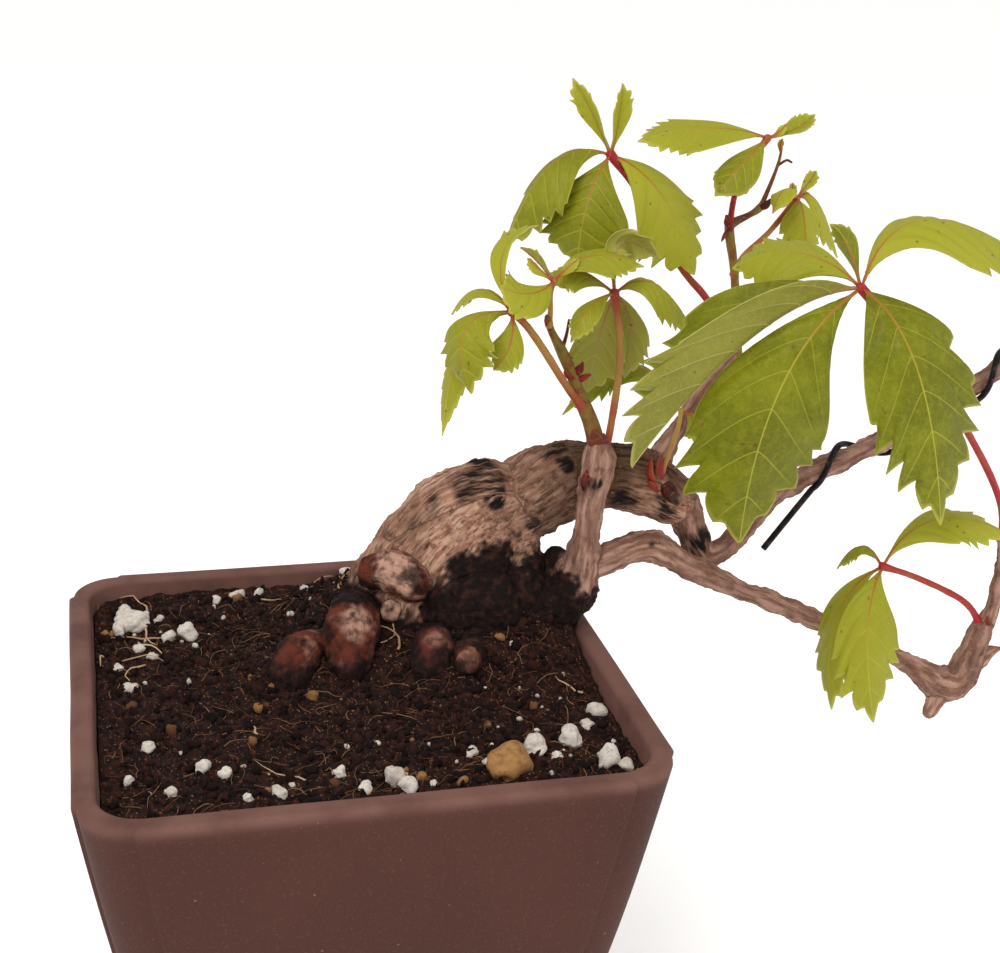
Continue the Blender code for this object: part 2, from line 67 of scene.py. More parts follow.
def cellNumber(cell, seed):
    # a repeatable number from 0 to 1 for each whole-number cell
    mixed = (cell[..., 0] * 73856093) ^ (cell[..., 1] * 19349663) ^ (cell[..., 2] * 83492791)
    mixed = (mixed ^ (seed * 2654435761)) & 0xffffffff
    mixed = ((mixed ^ (mixed >> 15)) * 2246822519) & 0xffffffff
    mixed = ((mixed ^ (mixed >> 13)) * 3266489917) & 0xffffffff
    return ((mixed ^ (mixed >> 16)) & 0xffffff) / 0xffffff


def noise(points, size, seed=0):
    # -1 to 1: the numbers of the eight corners of each cell, blended along an S curve
    scaled = points / size
    cell = np.floor(scaled).astype(np.int64)
    part = scaled - cell
    part = part * part * (3 - 2 * part)
    total = 0
    for corner in np.ndindex(2, 2, 2):
        weight = np.prod(np.where(np.array(corner) == 1, part, 1 - part), axis=-1)
        total = total + weight * cellNumber(cell + np.array(corner), seed)
    return 2 * total - 1


def roughNoise(points, size, octaves, seed=0):
    # noise with finer and weaker noise on top, each octave half the size and half the height
    return sum(noise(points, size / 2 ** k, seed + k) / 2 ** k for k in range(octaves))


def smoothPath(listed, steps):
    # Catmull-Rom curve through the listed rows, every column carried along
    rows = np.array(listed, float)
    padded = np.vstack([2 * rows[0] - rows[1], rows, 2 * rows[-1] - rows[-2]])
    a, b, c, d = (padded[k:len(padded) - 3 + k, None] for k in range(4))
    t = (np.arange(steps) / steps)[None, :, None]
    curve = 0.5 * (2 * b + (c - a) * t + (2 * a - 5 * b + 4 * c - d) * t ** 2
                   + (3 * b - a - 3 * c + d) * t ** 3)
    return np.vstack([curve.reshape(-1, rows.shape[1]), rows[-1:]])


def pathFrame(path):
    # forward along a path, and two directions square to it that don't spin
    forward = unit(np.gradient(path, axis=0))
    steadiest = np.argmin(np.abs(forward).max(axis=0))
    side = unit(np.cross(np.eye(3)[steadiest], forward))
    return forward, side, np.cross(forward, side)


def alongOf(path):
    # length from the start to each point of a path
    return np.concatenate([[0], np.cumsum(np.linalg.norm(np.diff(path, axis=0), axis=1))])


# Tools for meshes

def makeMesh(name, points, quads, triangles, materialIndex=None):
    # all arrays go into the mesh at once; a shape that came out inside out is turned over
    corners = np.concatenate([quads[:, [0, 1, 2]], quads[:, [0, 2, 3]], triangles])
    a, b, c = (points[corners[:, k]] for k in range(3))
    if np.einsum("ij,ij->i", a, np.cross(b, c)).sum() < 0:
        quads, triangles = quads[:, ::-1], triangles[:, ::-1]
    mesh = bpy.data.meshes.new(name)
    mesh.vertices.add(len(points))
    mesh.vertices.foreach_set("co", points.astype(np.float32).ravel())
    mesh.loops.add(quads.size + triangles.size)
    mesh.loops.foreach_set("vertex_index", np.concatenate([quads.ravel(), triangles.ravel()]))
    count = np.concatenate([np.full(len(quads), 4), np.full(len(triangles), 3)])
    mesh.polygons.add(len(count))
    mesh.polygons.foreach_set("loop_start", np.concatenate([[0], np.cumsum(count)[:-1]]))
    mesh.polygons.foreach_set("use_smooth", np.ones(len(count), bool))
    if materialIndex is not None:
        mesh.polygons.foreach_set("material_index", materialIndex)
    mesh.update(calc_edges=True)
    mesh.validate()
    return mesh


def loftMesh(name, rings, columnMaterial=None, attributes=None):
    # Closed skins through rings of points, shaped (skins, rings, points in a ring, 3) or without
    # the first: a point joins its neighbours in its ring and in the next ring, and the first and
    # last rings are closed to their middles.
    if rings.ndim == 3:
        rings = rings[None]
    skins, rows, columns, _ = rings.shape
    here = np.arange(rows * columns).reshape(rows, columns)
    after = np.roll(here, -1, axis=1)
    quads = np.stack([here[:-1], after[:-1], after[1:], here[1:]], axis=-1).reshape(-1, 4)
    start = np.full(columns, rows * columns)
    triangles = np.concatenate([np.stack([start, after[0], here[0]], axis=-1),
                                np.stack([start + 1, here[-1], after[-1]], axis=-1)])
    size = rows * columns + 2
    shift = (np.arange(skins) * size)[:, None, None]
    poles = rings[:, [0, -1]].mean(axis=2)
    points = np.concatenate([rings.reshape(skins, -1, 3), poles], axis=1).reshape(-1, 3)
    material = None
    if columnMaterial is not None:       # the same in every row of one skin, and at its two ends
        material = np.tile(columnMaterial, rows + 1)
    allQuads = (quads[None] + shift).reshape(-1, 4)
    mesh = makeMesh(name, points, allQuads, (triangles[None] + shift).reshape(-1, 3), material)
    for label, values in (attributes or {}).items():
        values = np.broadcast_to(values, rings.shape[:3])
        ends = values[:, [0, -1]].mean(axis=2)
        setAttribute(mesh, label, np.concatenate([values.reshape(skins, -1), ends], axis=1).ravel())
    return mesh


def setAttribute(mesh, label, values):
    # numbers or vectors stored at the points, for materials to read
    kind = "FLOAT_VECTOR" if values.ndim == 2 else "FLOAT"
    layer = mesh.attributes.new(label, kind, "POINT")
    layer.data.foreach_set("vector" if values.ndim == 2 else "value", values.astype(np.float32).ravel())


def tubeRings(path, radius, sides):
    # rings of a tube: centre plus radius times cos of the angle sideways and sin of it upwards
    forward, side, upper = pathFrame(path)
    angle = np.arange(sides) / sides * 2 * math.pi
    radius = np.broadcast_to(radius, (len(path),))[:, None, None]
    around = np.cos(angle)[None, :, None] * side[:, None] + np.sin(angle)[None, :, None] * upper[:, None]
    return path[:, None] + radius * around


def roundEnds(path, radius, steps=4):
    # a path and its radii with a dome at each end: radius times cos, reach times sin
    turn = np.linspace(math.pi / 2, 0, steps, endpoint=False)[:, None]
    first, last = unit(path[0] - path[1]), unit(path[-1] - path[-2])
    domeIn = path[0] + first * np.sin(turn) * radius[0] * 0.98
    domeOut = path[-1] + last * np.sin(turn[::-1]) * radius[-1] * 0.98
    lessening = np.cos(turn[:, 0])
    radii = np.concatenate([radius[0] * lessening + 1e-5, radius, radius[-1] * lessening[::-1] + 1e-5])
    return np.vstack([domeIn, path, domeOut]), radii


def lumpRings(rows, columns):
    # a unit ball as rings from one pole to the other
    tall = (np.arange(rows) + 0.5) / rows * math.pi
    turn = np.arange(columns) / columns * 2 * math.pi
    return np.stack([np.sin(tall)[:, None] * np.cos(turn), np.sin(tall)[:, None] * np.sin(turn),
                     np.broadcast_to(-np.cos(tall)[:, None], (rows, columns))], axis=-1)


def addPiece(name, mesh, materials, replaced=()):
    # a finished piece that rides on the body and stands for the CAD nodes it replaces
    piece = bpy.data.objects.new(name, mesh)
    bpy.context.scene.collection.objects.link(piece)
    for material in materials:
        mesh.materials.append(material)
    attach(piece, body)
    if replaced:
        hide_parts(*replaced)
    return piece


# Tools for materials

def linear(hexColour):
    # an sRGB hex colour as linear light
    srgb = np.array([int(hexColour[k:k + 2], 16) for k in (1, 3, 5)]) / 255
    light = np.where(srgb <= 0.04045, srgb / 12.92, ((srgb + 0.055) / 1.055) ** 2.4)
    return (*light, 1)


def addNode(tree, kind, inputs=None, **settings):
    # inputs: a socket to link, a hex colour or a plain value for each named or numbered input
    node = tree.nodes.new("ShaderNode" + kind)
    for key, value in settings.items():
        setattr(node, key, value)
    for key, value in (inputs or {}).items():
        if isinstance(value, bpy.types.NodeSocket):
            tree.links.new(value, node.inputs[key])
        else:
            node.inputs[key].default_value = linear(value) if isinstance(value, str) else value
    return node


def startMaterial(name, roughness, **shaderInputs):
    # a dull shader with the settings given, its node tree, and the place on the object
    material = bpy.data.materials.new(name)
    material.use_nodes = True
    tree = material.node_tree
    shader = tree.nodes["Principled BSDF"]
    shader.inputs["Roughness"].default_value = roughness
    shader.inputs["Specular IOR Level"].default_value = 0.2
    for key, value in shaderInputs.items():
        shader.inputs[key.replace("_", " ")].default_value = value
    return material, tree, addNode(tree, "TexCoord").outputs["Object"]


def patches(tree, place, size, low, high, detail=3.0):
    # a mask from noise of a given size in metres, 0 where it is under low and 1 over high
    pattern = addNode(tree, "TexNoise", {"Vector": place, "Scale": 1 / size, "Detail": detail})
    spread = {"Value": pattern.outputs["Fac"], "From Min": low, "From Max": high}
    return addNode(tree, "MapRange", spread, interpolation_type="SMOOTHSTEP").outputs["Result"]


def paint(tree, base, coats):
    # a base colour with coats of (mask, strength, colour) laid over it one after another
    for mask, strength, colour in coats:
        if strength < 1:
            mask = addNode(tree, "Math", {0: mask, 1: strength}, operation="MULTIPLY").outputs[0]
        base = addNode(tree, "Mix", {0: mask, 6: base, 7: colour}, data_type="RGBA").outputs[2]
    return base


def band(tree, label, low, high):
    # a mask from a stored value: 0 at low and 1 at high, where low may be the larger
    value = addNode(tree, "Attribute", attribute_name=label).outputs["Fac"]
    spread = {"Value": value, "From Min": min(low, high), "From Max": max(low, high),
              "To Min": float(low > high), "To Max": float(low < high)}
    return addNode(tree, "MapRange", spread, interpolation_type="SMOOTHSTEP").outputs["Result"]


def finish(material, colour, heights):
    # the colour and a stack of bumps go to the shader: (height socket, depth in metres, strength)
    tree = material.node_tree
    shader = tree.nodes["Principled BSDF"]
    tree.links.new(colour, shader.inputs["Base Color"])
    normal = None
    for height, depth, strength in heights:
        inputs = {"Height": height, "Distance": depth, "Strength": strength}
        if normal:
            inputs["Normal"] = normal
        normal = addNode(tree, "Bump", inputs).outputs["Normal"]
    tree.links.new(normal, shader.inputs["Normal"])
    return material


# Camera, floor and light

view = {"place": (-0.0597, -0.3939, 0.3038), "azimuth": -14.08, "elevation": 20.11, "roll": 1.83,
        "lens": 61.2, "sensor": 36}


def makeCamera():
    # backward from the azimuth and elevation; right and up square to it, turned by the roll
    azimuth, elevation, roll = (math.radians(view[key]) for key in ("azimuth", "elevation", "roll"))
    backward = np.array([math.sin(azimuth) * math.cos(elevation), -math.cos(azimuth) * math.cos(elevation),
                         math.sin(elevation)])
    level = unit(np.cross(-backward, (0, 0, 1)))
    above = np.cross(level, -backward)
    right = math.cos(roll) * level + math.sin(roll) * above
    up = -math.sin(roll) * level + math.cos(roll) * above
    camera = bpy.data.objects.new("camera", bpy.data.cameras.new("camera"))
    camera.data.lens = view["lens"]
    camera.data.sensor_width = view["sensor"]
    camera.data.clip_start = 0.01
    matrix = np.eye(4)
    matrix[:3, :3] = np.column_stack([right, up, backward])
    matrix[:3, 3] = view["place"]
    camera.matrix_world = Matrix(matrix.tolist())
    bpy.context.scene.collection.objects.link(camera)
    bpy.context.scene.camera = camera


studio = {"floorSize": 14, "floorColour": "#f4f3f1", "skyColour": "#ffffff", "skyStrength": 0.6, "glow": 0.5,
          "keyPlace": (-0.55, -0.75, 1.25), "keySize": 0.7, "keyPower": 9.5,
          "fillPlace": (0.9, -0.5, 0.6), "fillSize": 0.8, "fillPower": 1.8,
          "aim": (0.05, 0, 0.12)}


def makeStudio():
    # a glowing white floor, an even sky, and two square lamps turned towards the plant
    half = studio["floorSize"] / 2
    mesh = bpy.data.meshes.new("floor")
    corners = [(-half, -half, 0), (half, -half, 0), (half, half, 0), (-half, half, 0)]
    mesh.from_pydata(corners, [], [(0, 1, 2, 3)])
    floor = bpy.data.objects.new("floor", mesh)
    bpy.context.scene.collection.objects.link(floor)
    white = linear(studio["floorColour"])
    board = startMaterial("matt white board lit from behind", 0.9, Base_Color=white, Emission_Color=white,
                          Emission_Strength=studio["glow"])
    mesh.materials.append(board[0])
    world = bpy.data.worlds.new("studio")
    world.use_nodes = True
    sky = world.node_tree.nodes["Background"]
    sky.inputs["Color"].default_value = linear(studio["skyColour"])
    sky.inputs["Strength"].default_value = studio["skyStrength"]
    bpy.context.scene.world = world
    for label in ("key", "fill"):
        lamp = bpy.data.lights.new(label, "AREA")
        lamp.size = studio[label + "Size"]
        lamp.energy = studio[label + "Power"]
        holder = bpy.data.objects.new(label, lamp)
        place = np.array(studio[label + "Place"])
        away = unit(place - np.array(studio["aim"]))
        level = unit(np.cross((0, 0, 1), away))
        matrix = np.eye(4)
        matrix[:3, :3] = np.column_stack([level, np.cross(away, level), away])
        matrix[:3, 3] = place
        holder.matrix_world = Matrix(matrix.tolist())
        bpy.context.scene.collection.objects.link(holder)
    bpy.context.scene.view_settings.view_transform = "Standard"


makeCamera()
makeStudio()
print("camera, floor and light ready")


# Pot

potLow, potHigh = (np.array(corner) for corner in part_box("pot"))
pot = {"width": potHigh[0] - potLow[0], "height": potHigh[2], "wall": 5.6 * mm, "base": 6 * mm,
       "corner": 11.5 * mm, "cornerInside": 11 * mm, "taper": 0.145, "belly": 0.426,
       "panelProud": 1.2 * mm, "panelStep": 1.1 * mm, "rimRound": 1.5 * mm, "footRound": 1.5 * mm,
       "drainRadius": 5 * mm, "drainPlace": 22 * mm,
       "unevenness": 0.22 * mm, "rimWaver": 0.15 * mm,            # how far from true it was pressed
       # the rim band below is dust and also a painted highlight where the rim catches the light
       "dustInside": 0.9, "dustAndHighlightOnRim": 0.8, "dustAtFoot": 0.25, "rimDustAndHighlightWidth": 3 * mm, "footWear": 14 * mm,
       "clay": "#4e2c24", "clayDark": "#43251d", "dust": "#8a6459", "grit": "#6b463c",
       "lime": "#a8917f"}
pot["width"] += 0.9 * mm      # the rim's rounding takes this off its widest line


def outerHalf(depth):
    # half the width at a depth below the rim, less a straight taper and a belly by the depth squared
    return pot["width"] / 2 - pot["taper"] * depth - pot["belly"] * depth ** 2


def innerHalf(depth):
    return outerHalf(depth) - pot["wall"]


def squareRing(half, corner, proud):
    # A rounded square: on each side the distance out is lowered by proud at the panel's two ends,
    # and quarter circles join the sides. Turned three times for the other sides.
    low = half - proud
    reach = low - corner
    stepIn = np.linspace(0, 1, 7)
    flat = np.linspace(-1, 1, 17)[1:-1] * (reach - pot["panelStep"])
    y = np.concatenate([-reach + stepIn * pot["panelStep"], flat, reach - stepIn[::-1] * pot["panelStep"]])
    x = low + proud * smoothStep(0, pot["panelStep"], reach - np.abs(y))
    turn = np.linspace(0, math.pi / 2, 14)[1:-1]
    x = np.concatenate([x, reach + corner * np.cos(turn)])
    y = np.concatenate([y, reach + corner * np.sin(turn)])
    quarter = np.column_stack([x, y])
    turned = [quarter, quarter[:, ::-1] * (-1, 1), -quarter, quarter[:, ::-1] * (1, -1)]
    return np.vstack(turned)


def potMaterial():
    # Unglazed stoneware, pressed and fired: matt brown clay with fine grit, dusty inside, and lighter along
    # the rim from dust and a painted highlight
    material, tree, place = startMaterial("unglazed pressed stoneware", 0.7)
    smears = patches(tree, place, 12 * mm, 0.0, 0.65, 6.0)
    # the dust mask, which along the rim is also a painted highlight
    dustAndRimHighlight = addNode(tree, "Math", {0: band(tree, "wearAndHighlight", 0, 1), 1: smears}, operation="MULTIPLY").outputs[0]
    colour = paint(tree, pot["clay"], [
        (patches(tree, place, 40 * mm, 0.3, 0.75), 0.5, pot["clayDark"]),
        (dustAndRimHighlight, 0.75, pot["dust"]),
        (patches(tree, place, 0.55 * mm, 0.66, 0.74, 0.0), 0.3, pot["grit"]),
        (patches(tree, place, 1.5 * mm, 0.79, 0.81, 1.0), 0.4, pot["lime"])])
    grain = addNode(tree, "TexNoise", {"Vector": place, "Scale": 1 / (0.45 * mm), "Detail": 2.0})
    peel = addNode(tree, "TexNoise", {"Vector": place, "Scale": 1 / (3.5 * mm), "Detail": 3.0})
    return finish(material, colour, [(peel.outputs["Fac"], 0.2 * mm, 0.4),
                                     (grain.outputs["Fac"], 0.08 * mm, 0.5)])


def makePot():
    # rings up the outside, over the rim, down the inside and across the floor to its middle
    height, rim, foot = pot["height"], pot["rimRound"], pot["footRound"]
    turn = np.linspace(0, math.pi / 2, 6)
    footHalf = outerHalf(height)
    under = [(footHalf * share - foot, 0.0, share) for share in (0.1, 0.5, 0.8, 0.97)]
    edge = [(footHalf - foot + foot * math.sin(a), foot - foot * math.cos(a), 1) for a in turn]
    wall = [(outerHalf(height - z), z, 1) for z in np.linspace(foot, height - rim, 46)[1:]]
    lip = [(outerHalf(rim) - rim * (1 - math.cos(a)), height - rim + rim * math.sin(a), 1) for a in turn[1:]]
    inner = innerHalf(rim)
    lipIn = [(inner + rim * (1 - math.sin(a)), height - rim + rim * math.cos(a), 0) for a in turn]
    within = [(innerHalf(height - z), z, 0) for z in np.linspace(height - rim, pot["base"], 34)[1:]]
    floor = [(innerHalf(height - pot["base"]) * share, pot["base"], 0) for share in (0.97, 0.7, 0.4, 0.12)]
    profile = under + edge + wall + lip + lipIn + within + floor
    rings = []
    for half, z, outside in profile:
        corner = min(pot["corner"] if outside else pot["cornerInside"], half * 0.9)
        ring = squareRing(half, corner, pot["panelProud"] if outside == 1 else 0)
        rings.append(np.column_stack([ring, np.full(len(ring), z)]))
    rings = np.array(rings)
    uneven = roughNoise(rings, 45 * mm, 2, 3) * pot["unevenness"]
    outward = unit(rings * (1, 1, 0))
    above = smoothStep(0, 12 * mm, rings[..., 2])[..., None]
    rings = rings + outward * uneven[..., None] * above
    rings[..., 2] += noise(rings, 30 * mm, 9) * pot["rimWaver"] * above[..., 0]
    z = rings[..., 2]
    inside = (np.arange(len(profile)) >= len(under + edge + wall + lip))[:, None]
    # a lighter band along the rim top: dust, and a painted highlight where the rim catches the light
    rimDustAndHighlight = np.exp(-((height - z) / pot["rimDustAndHighlightWidth"]) ** 2) * pot["dustAndHighlightOnRim"]
    wearAndHighlight = np.where(inside, pot["dustInside"], rimDustAndHighlight)
    wearAndHighlight = wearAndHighlight + pot["dustAtFoot"] * smoothStep(pot["footWear"], 2 * mm, z)
    mesh = loftMesh("pot_shell", rings, attributes={"wearAndHighlight": wearAndHighlight})
    drill = bpy.data.objects.new("drill", drainDrills())
    bpy.context.scene.collection.objects.link(drill)
    shell = bpy.data.objects.new("shell", mesh)
    bpy.context.scene.collection.objects.link(shell)
    cut = shell.modifiers.new("drain holes", "BOOLEAN")
    cut.operation, cut.solver, cut.object = "DIFFERENCE", "EXACT", drill
    graph = bpy.context.evaluated_depsgraph_get()
    drilled = bpy.data.meshes.new_from_object(shell.evaluated_get(graph))
    for used in (shell, drill):
        bpy.data.objects.remove(used)
    drilled.set_sharp_from_angle(angle=math.radians(50))
    addPiece("stoneware_pot", drilled, [potMaterial()], ["pot"])


def drainDrills():
    # four upright rods on a square
    turn = np.arange(32) / 32 * 2 * math.pi
    circle = np.column_stack([np.cos(turn), np.sin(turn)]) * pot["drainRadius"]
    corners = np.array([(-1, -1), (1, -1), (-1, 1), (1, 1)]) * pot["drainPlace"]
    levels = np.array([-4, 3, 20]) * mm
    flat = np.broadcast_to((corners[:, None] + circle[None])[:, None], (4, 3, 32, 2))
    tall = np.broadcast_to(levels[None, :, None, None], (4, 3, 32, 1))
    return loftMesh("drill", np.concatenate([flat, tall], axis=-1))


def plasticMaterial():
    # Extruded polyethylene netting: black, smooth, with a dull sheen and grey dust
    material, tree, place = startMaterial("extruded polyethylene netting", 0.5)
    dust = patches(tree, place, 4 * mm, 0.45, 0.75)
    colour = paint(tree, "#101010", [(dust, 1, "#3a302b")])
    threads = addNode(tree, "TexWave", {"Vector": place, "Scale": 1 / (8 * mm), "Distortion": 1.5})
    return finish(material, colour, [(threads.outputs["Fac"], 0.1 * mm, 0.5)])


makePot()
netting = plasticMaterial()
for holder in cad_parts["drain_mesh"].material_slots:
    holder.material = netting
print("pot made")


# Soil

soil = {"belowRim": 5.5 * mm, "heaps": [(47, 14, 9.5, 19), (17, 43, 11.5, 20), (5, 26, 5.5, 8)],
        "bank": 1.9 * mm, "gap": 0.3 * mm, "netting": 1.4 * mm, "rings": 150, "around": 120,
        "clods": 1.5 * mm, "crumbs": 0.66 * mm, "grit": 0.5 * mm, "dust": 0.25 * mm,
        "peat": "#1b0d0a", "peatLight": "#371c15", "fibre": "#63301d", "sand": "#8d6a4c"}
soilLevel = pot["height"] - soil["belowRim"]
# Where roots and limbs go in: (x, y) and reach in mm
rootFeet = [(24, 34, 24), (40, 22, 18), (4, 17, 13), (-10, 10, 10), (25, 5, 11), (33, 0, 9),
            (60, 20, 10), (14, 12, 12)]


def soilHeight(x, y):
    # level, heaped by bell curves at the trunk, banked against each root, and broken into clods and
    # crumbs by noise
    flat = np.stack([x, y, np.zeros_like(x)], axis=-1)
    height = soilLevel
    for heapX, heapY, high, spread in soil["heaps"]:
        away = np.hypot(x - heapX * mm, y - heapY * mm) / (spread * mm)
        height = height + high * mm * np.exp(-away ** 2)
    for footX, footY, reach in rootFeet:
        near = np.hypot(x - footX * mm, y - footY * mm) / (reach * mm)
        height = height + soil["bank"] * np.exp(-(near / 1.1) ** 4)
    height = height + soil["clods"] * noise(flat, 19 * mm, 5)
    crumb = 1 - 2 * np.abs(noise(flat, 4.2 * mm, 11))
    finer = 1 - 2 * np.abs(noise(flat, 1.9 * mm, 12))
    height = height + soil["crumbs"] * crumb + soil["grit"] * finer
    return height + soil["dust"] * noise(flat, 0.8 * mm, 13)


def soilMaterial():
    # Potting peat: near-black damp fibre with brown and rust threads and pale sand
    material, tree, place = startMaterial("damp potting peat", 0.9)
    stretched = addNode(tree, "Mapping", {"Vector": place, "Rotation": (0.2, 0.3, 0.9),
                                          "Scale": (1, 0.22, 1)})
    colour = paint(tree, soil["peat"], [
        (patches(tree, place, 2.2 * mm, 0.42, 0.66), 1, soil["peatLight"]),
        (patches(tree, stretched.outputs["Vector"], 0.7 * mm, 0.62, 0.7, 1.0), 0.7, soil["fibre"]),
        (patches(tree, place, 0.6 * mm, 0.74, 0.77, 0.0), 0.8, soil["sand"])])
    crumbs = addNode(tree, "TexNoise", {"Vector": place, "Scale": 1 / (0.9 * mm), "Detail": 4.0})
    return finish(material, colour, [(crumbs.outputs["Fac"], 0.8 * mm, 0.9)])


def tintedMaterial(name, roughness, dark, pale, grainSize, depth):
    # a rough granular stuff whose pieces run from dark to pale by their own tint
    material, tree, place = startMaterial(name, roughness)
    tint = addNode(tree, "Attribute", attribute_name="tint").outputs["Fac"]
    pits = patches(tree, place, grainSize, 0.4, 0.72, 4.0)
    colour = paint(tree, dark, [(tint, 1, pale), (pits, 0.45, dark)])
    grain = addNode(tree, "TexNoise", {"Vector": place, "Scale": 1 / (grainSize * 0.8), "Detail": 4.0})
    return finish(material, colour, [(grain.outputs["Fac"], depth, 0.8)])


def makeSoil():
    # rounded squares shrinking from the wall to the middle, their height from soilHeight; below
    # them plain rings down the wall to the netting and back to the middle
    bottom = pot["base"] + soil["netting"]
    side = []
    for share in (0.15, 0.6, 1):
        side.append((innerHalf(pot["height"] - bottom) * share - soil["gap"], bottom))
    for share in (0.3, 0.6, 0.85):
        z = bottom + (soilLevel - bottom) * share
        side.append((innerHalf(pot["height"] - z) - soil["gap"], z))
    rings = []
    for half, z in side:
        ring = resample(squareRing(half, min(pot["cornerInside"], half * 0.9), 0), 4 * soil["around"])
        rings.append(np.column_stack([ring, np.full(len(ring), z)]))
    edge = squareRing(innerHalf(soil["belowRim"]) - soil["gap"], pot["cornerInside"], 0)
    edge = resample(edge, 4 * soil["around"])
    shares = np.linspace(1, 0.004, soil["rings"])[:, None, None]
    top = edge[None] * shares
    z = soilHeight(top[..., 0], top[..., 1])
    rings = np.concatenate([np.array(rings), np.concatenate([top, z[..., None]], axis=-1)])
    addPiece("peat", loftMesh("peat", rings), [soilMaterial()], ["soil"])


def resample(ring, count):
    # the same outline with evenly spaced points
    closed = np.vstack([ring, ring[:1]])
    along = alongOf(closed)
    wanted = np.arange(count) / count * along[-1]
    return np.column_stack([np.interp(wanted, along, closed[:, k]) for k in range(2)])


def scatter(count, seed):
    # random places on the soil, and the draw to go on with
    draw = np.random.default_rng(seed)
    return draw.uniform(-1, 1, (count, 2)) * (innerHalf(soil["belowRim"]) - 2.5 * mm), draw


def lumps(name, places, sizes, draw, rows, columns, ruggedness, sink, material, tint, replaced=()):
    # balls stretched by their sizes and turned, each pushed in and out by noise of its own
    count = len(places)
    ball = lumpRings(rows, columns)[None] * np.ones((count, 1, 1, 1))
    turn = draw.uniform(0, 2 * math.pi, count)
    shift = draw.uniform(-50, 50, (count, 1, 1, 3))
    ball = ball * (1 + ruggedness * roughNoise(ball + shift, 0.9, 2, 21))[..., None]
    ball = ball * sizes[:, None, None]
    c, s = np.cos(turn)[:, None, None], np.sin(turn)[:, None, None]
    x, y = ball[..., 0] * c - ball[..., 1] * s, ball[..., 0] * s + ball[..., 1] * c
    ball = np.stack([x, y, ball[..., 2]], axis=-1)
    height = soilHeight(places[:, 0], places[:, 1]) + sizes[:, 2] * sink
    centre = np.column_stack([places, height])[:, None, None]
    mesh = loftMesh(name, centre + ball, attributes={"tint": tint[:, None, None]})
    return addPiece(name, mesh, [material], replaced)


# Loose bits: how many, and the smallest and largest radius in mm before their own stretch
loose = {"crumbs": (3600, 0.3, 1.5), "pumiceDust": (90, 0.35, 0.95), "akadama": (34, 0.5, 1.6),
         "tints": {"peat": ("#140a07", "#3b1e16"), "pumice": ("#9c8472", "#e9e0d4"),
                   "akadama": ("#54301f", "#b98a55"), "fibre": ("#4a2415", "#a9825c"),
                   "rootlet": ("#8a5b3a", "#d9b893")}}


def makeCrumbs():
    # angular bits of peat, most of them small
    material = tintedMaterial("peat crumbs", 0.95, *loose["tints"]["peat"], 0.8 * mm, 0.3 * mm)
    count, least, most = loose["crumbs"]
    flat, draw = scatter(count, 31)
    size = draw.uniform(least, most, (len(flat), 1)) ** 1.5 * mm * draw.uniform(0.35, 1.0, (len(flat), 3))
    tint = draw.uniform(0, 1, len(flat)) ** 2
    lumps("peat_crumbs", flat, size, draw, 4, 6, 0.6, 0.1, material, tint)


# The larger pumice grains: (x, y) and radius in mm
pumiceGrains = [(-55, 49, 3.2), (-50, 50, 2.4), (-57, 43, 2.2), (-49, 26, 1.9), (-44, 34, 2.2),
                (-39, 36, 2.6), (-52, 31, 1.6), (-23, 59, 2.6), (-17, 58, 1.8), (-30, 56, 1.6),
                (-55, 6, 2.1), (-58, 21, 1.7), (-46, 47, 1.5), (-40, -40, 2.2), (-35, -43, 1.5),
                (-24, -54, 1.9), (-52, -27, 1.6), (-4, -53, 2.2), (3, -51, 3), (6, -55, 2.4),
                (-9, -46, 1.8), (12, -54, 1.3), (55, -52, 3.2), (59, -54, 2.3), (56, -31, 2),
                (60, -26, 2.2), (27, -47, 1.9), (24, -41, 1.7), (44, -46, 1.6), (-31, -55, 1.4),
                (-48, -48, 1.8), (-57, -40, 1.5), (8, 58, 1.9), (-4, 57, 1.6)]


def makeGrains():
    # listed pumice, pumice dust towards the walls, akadama, and the four stones in their CAD boxes
    draw = np.random.default_rng(7)
    pumice = tintedMaterial("pumice grains", 0.95, *loose["tints"]["pumice"], 0.9 * mm, 0.35 * mm)
    placed = np.array(pumiceGrains, float)
    size = placed[:, 2:] * mm * draw.uniform(0.7, 1.15, (len(placed), 3)) * (1, 1, 0.85)
    lumps("pumice_grit", placed[:, :2] * mm, size, draw, 12, 16, 0.42, 0.35, pumice,
          draw.uniform(0.7, 1, len(placed)))
    count, least, most = loose["pumiceDust"]
    flat, draw = scatter(count, 41)
    far = np.abs(flat).max(axis=1) > 0.5 * innerHalf(0)
    flat = flat[far]
    size = draw.uniform(least, most, (len(flat), 1)) * mm * draw.uniform(0.7, 1.2, (len(flat), 3))
    lumps("pumice_dust", flat, size, draw, 5, 7, 0.4, 0.4, pumice, draw.uniform(0.4, 1, len(flat)))
    akadama = tintedMaterial("fired akadama clay", 0.95, *loose["tints"]["akadama"], 1.6 * mm, 0.3 * mm)
    count, least, most = loose["akadama"]
    flat, draw = scatter(count, 43)
    size = draw.uniform(least, most, (len(flat), 1)) * mm * draw.uniform(0.7, 1.1, (len(flat), 3))
    tint = draw.uniform(0, 0.7, len(flat))
    lumps("akadama_grit", flat, size, draw, 8, 10, 0.4, 0.3, akadama, tint)
    for node in ("akadama_lump", "pumice_grain_1", "pumice_grain_2", "pumice_grain_3"):
        low, high = (np.array(corner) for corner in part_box(node))
        kind = node.split("_")[0]
        centre, half = (low + high) / 2, (high - low) / 2
        lumps(node + "_stone", centre[None, :2], half[None], draw, 26, 34, 0.42, 0.4,
              akadama if kind == "akadama" else pumice, np.array([0.85]), [node])


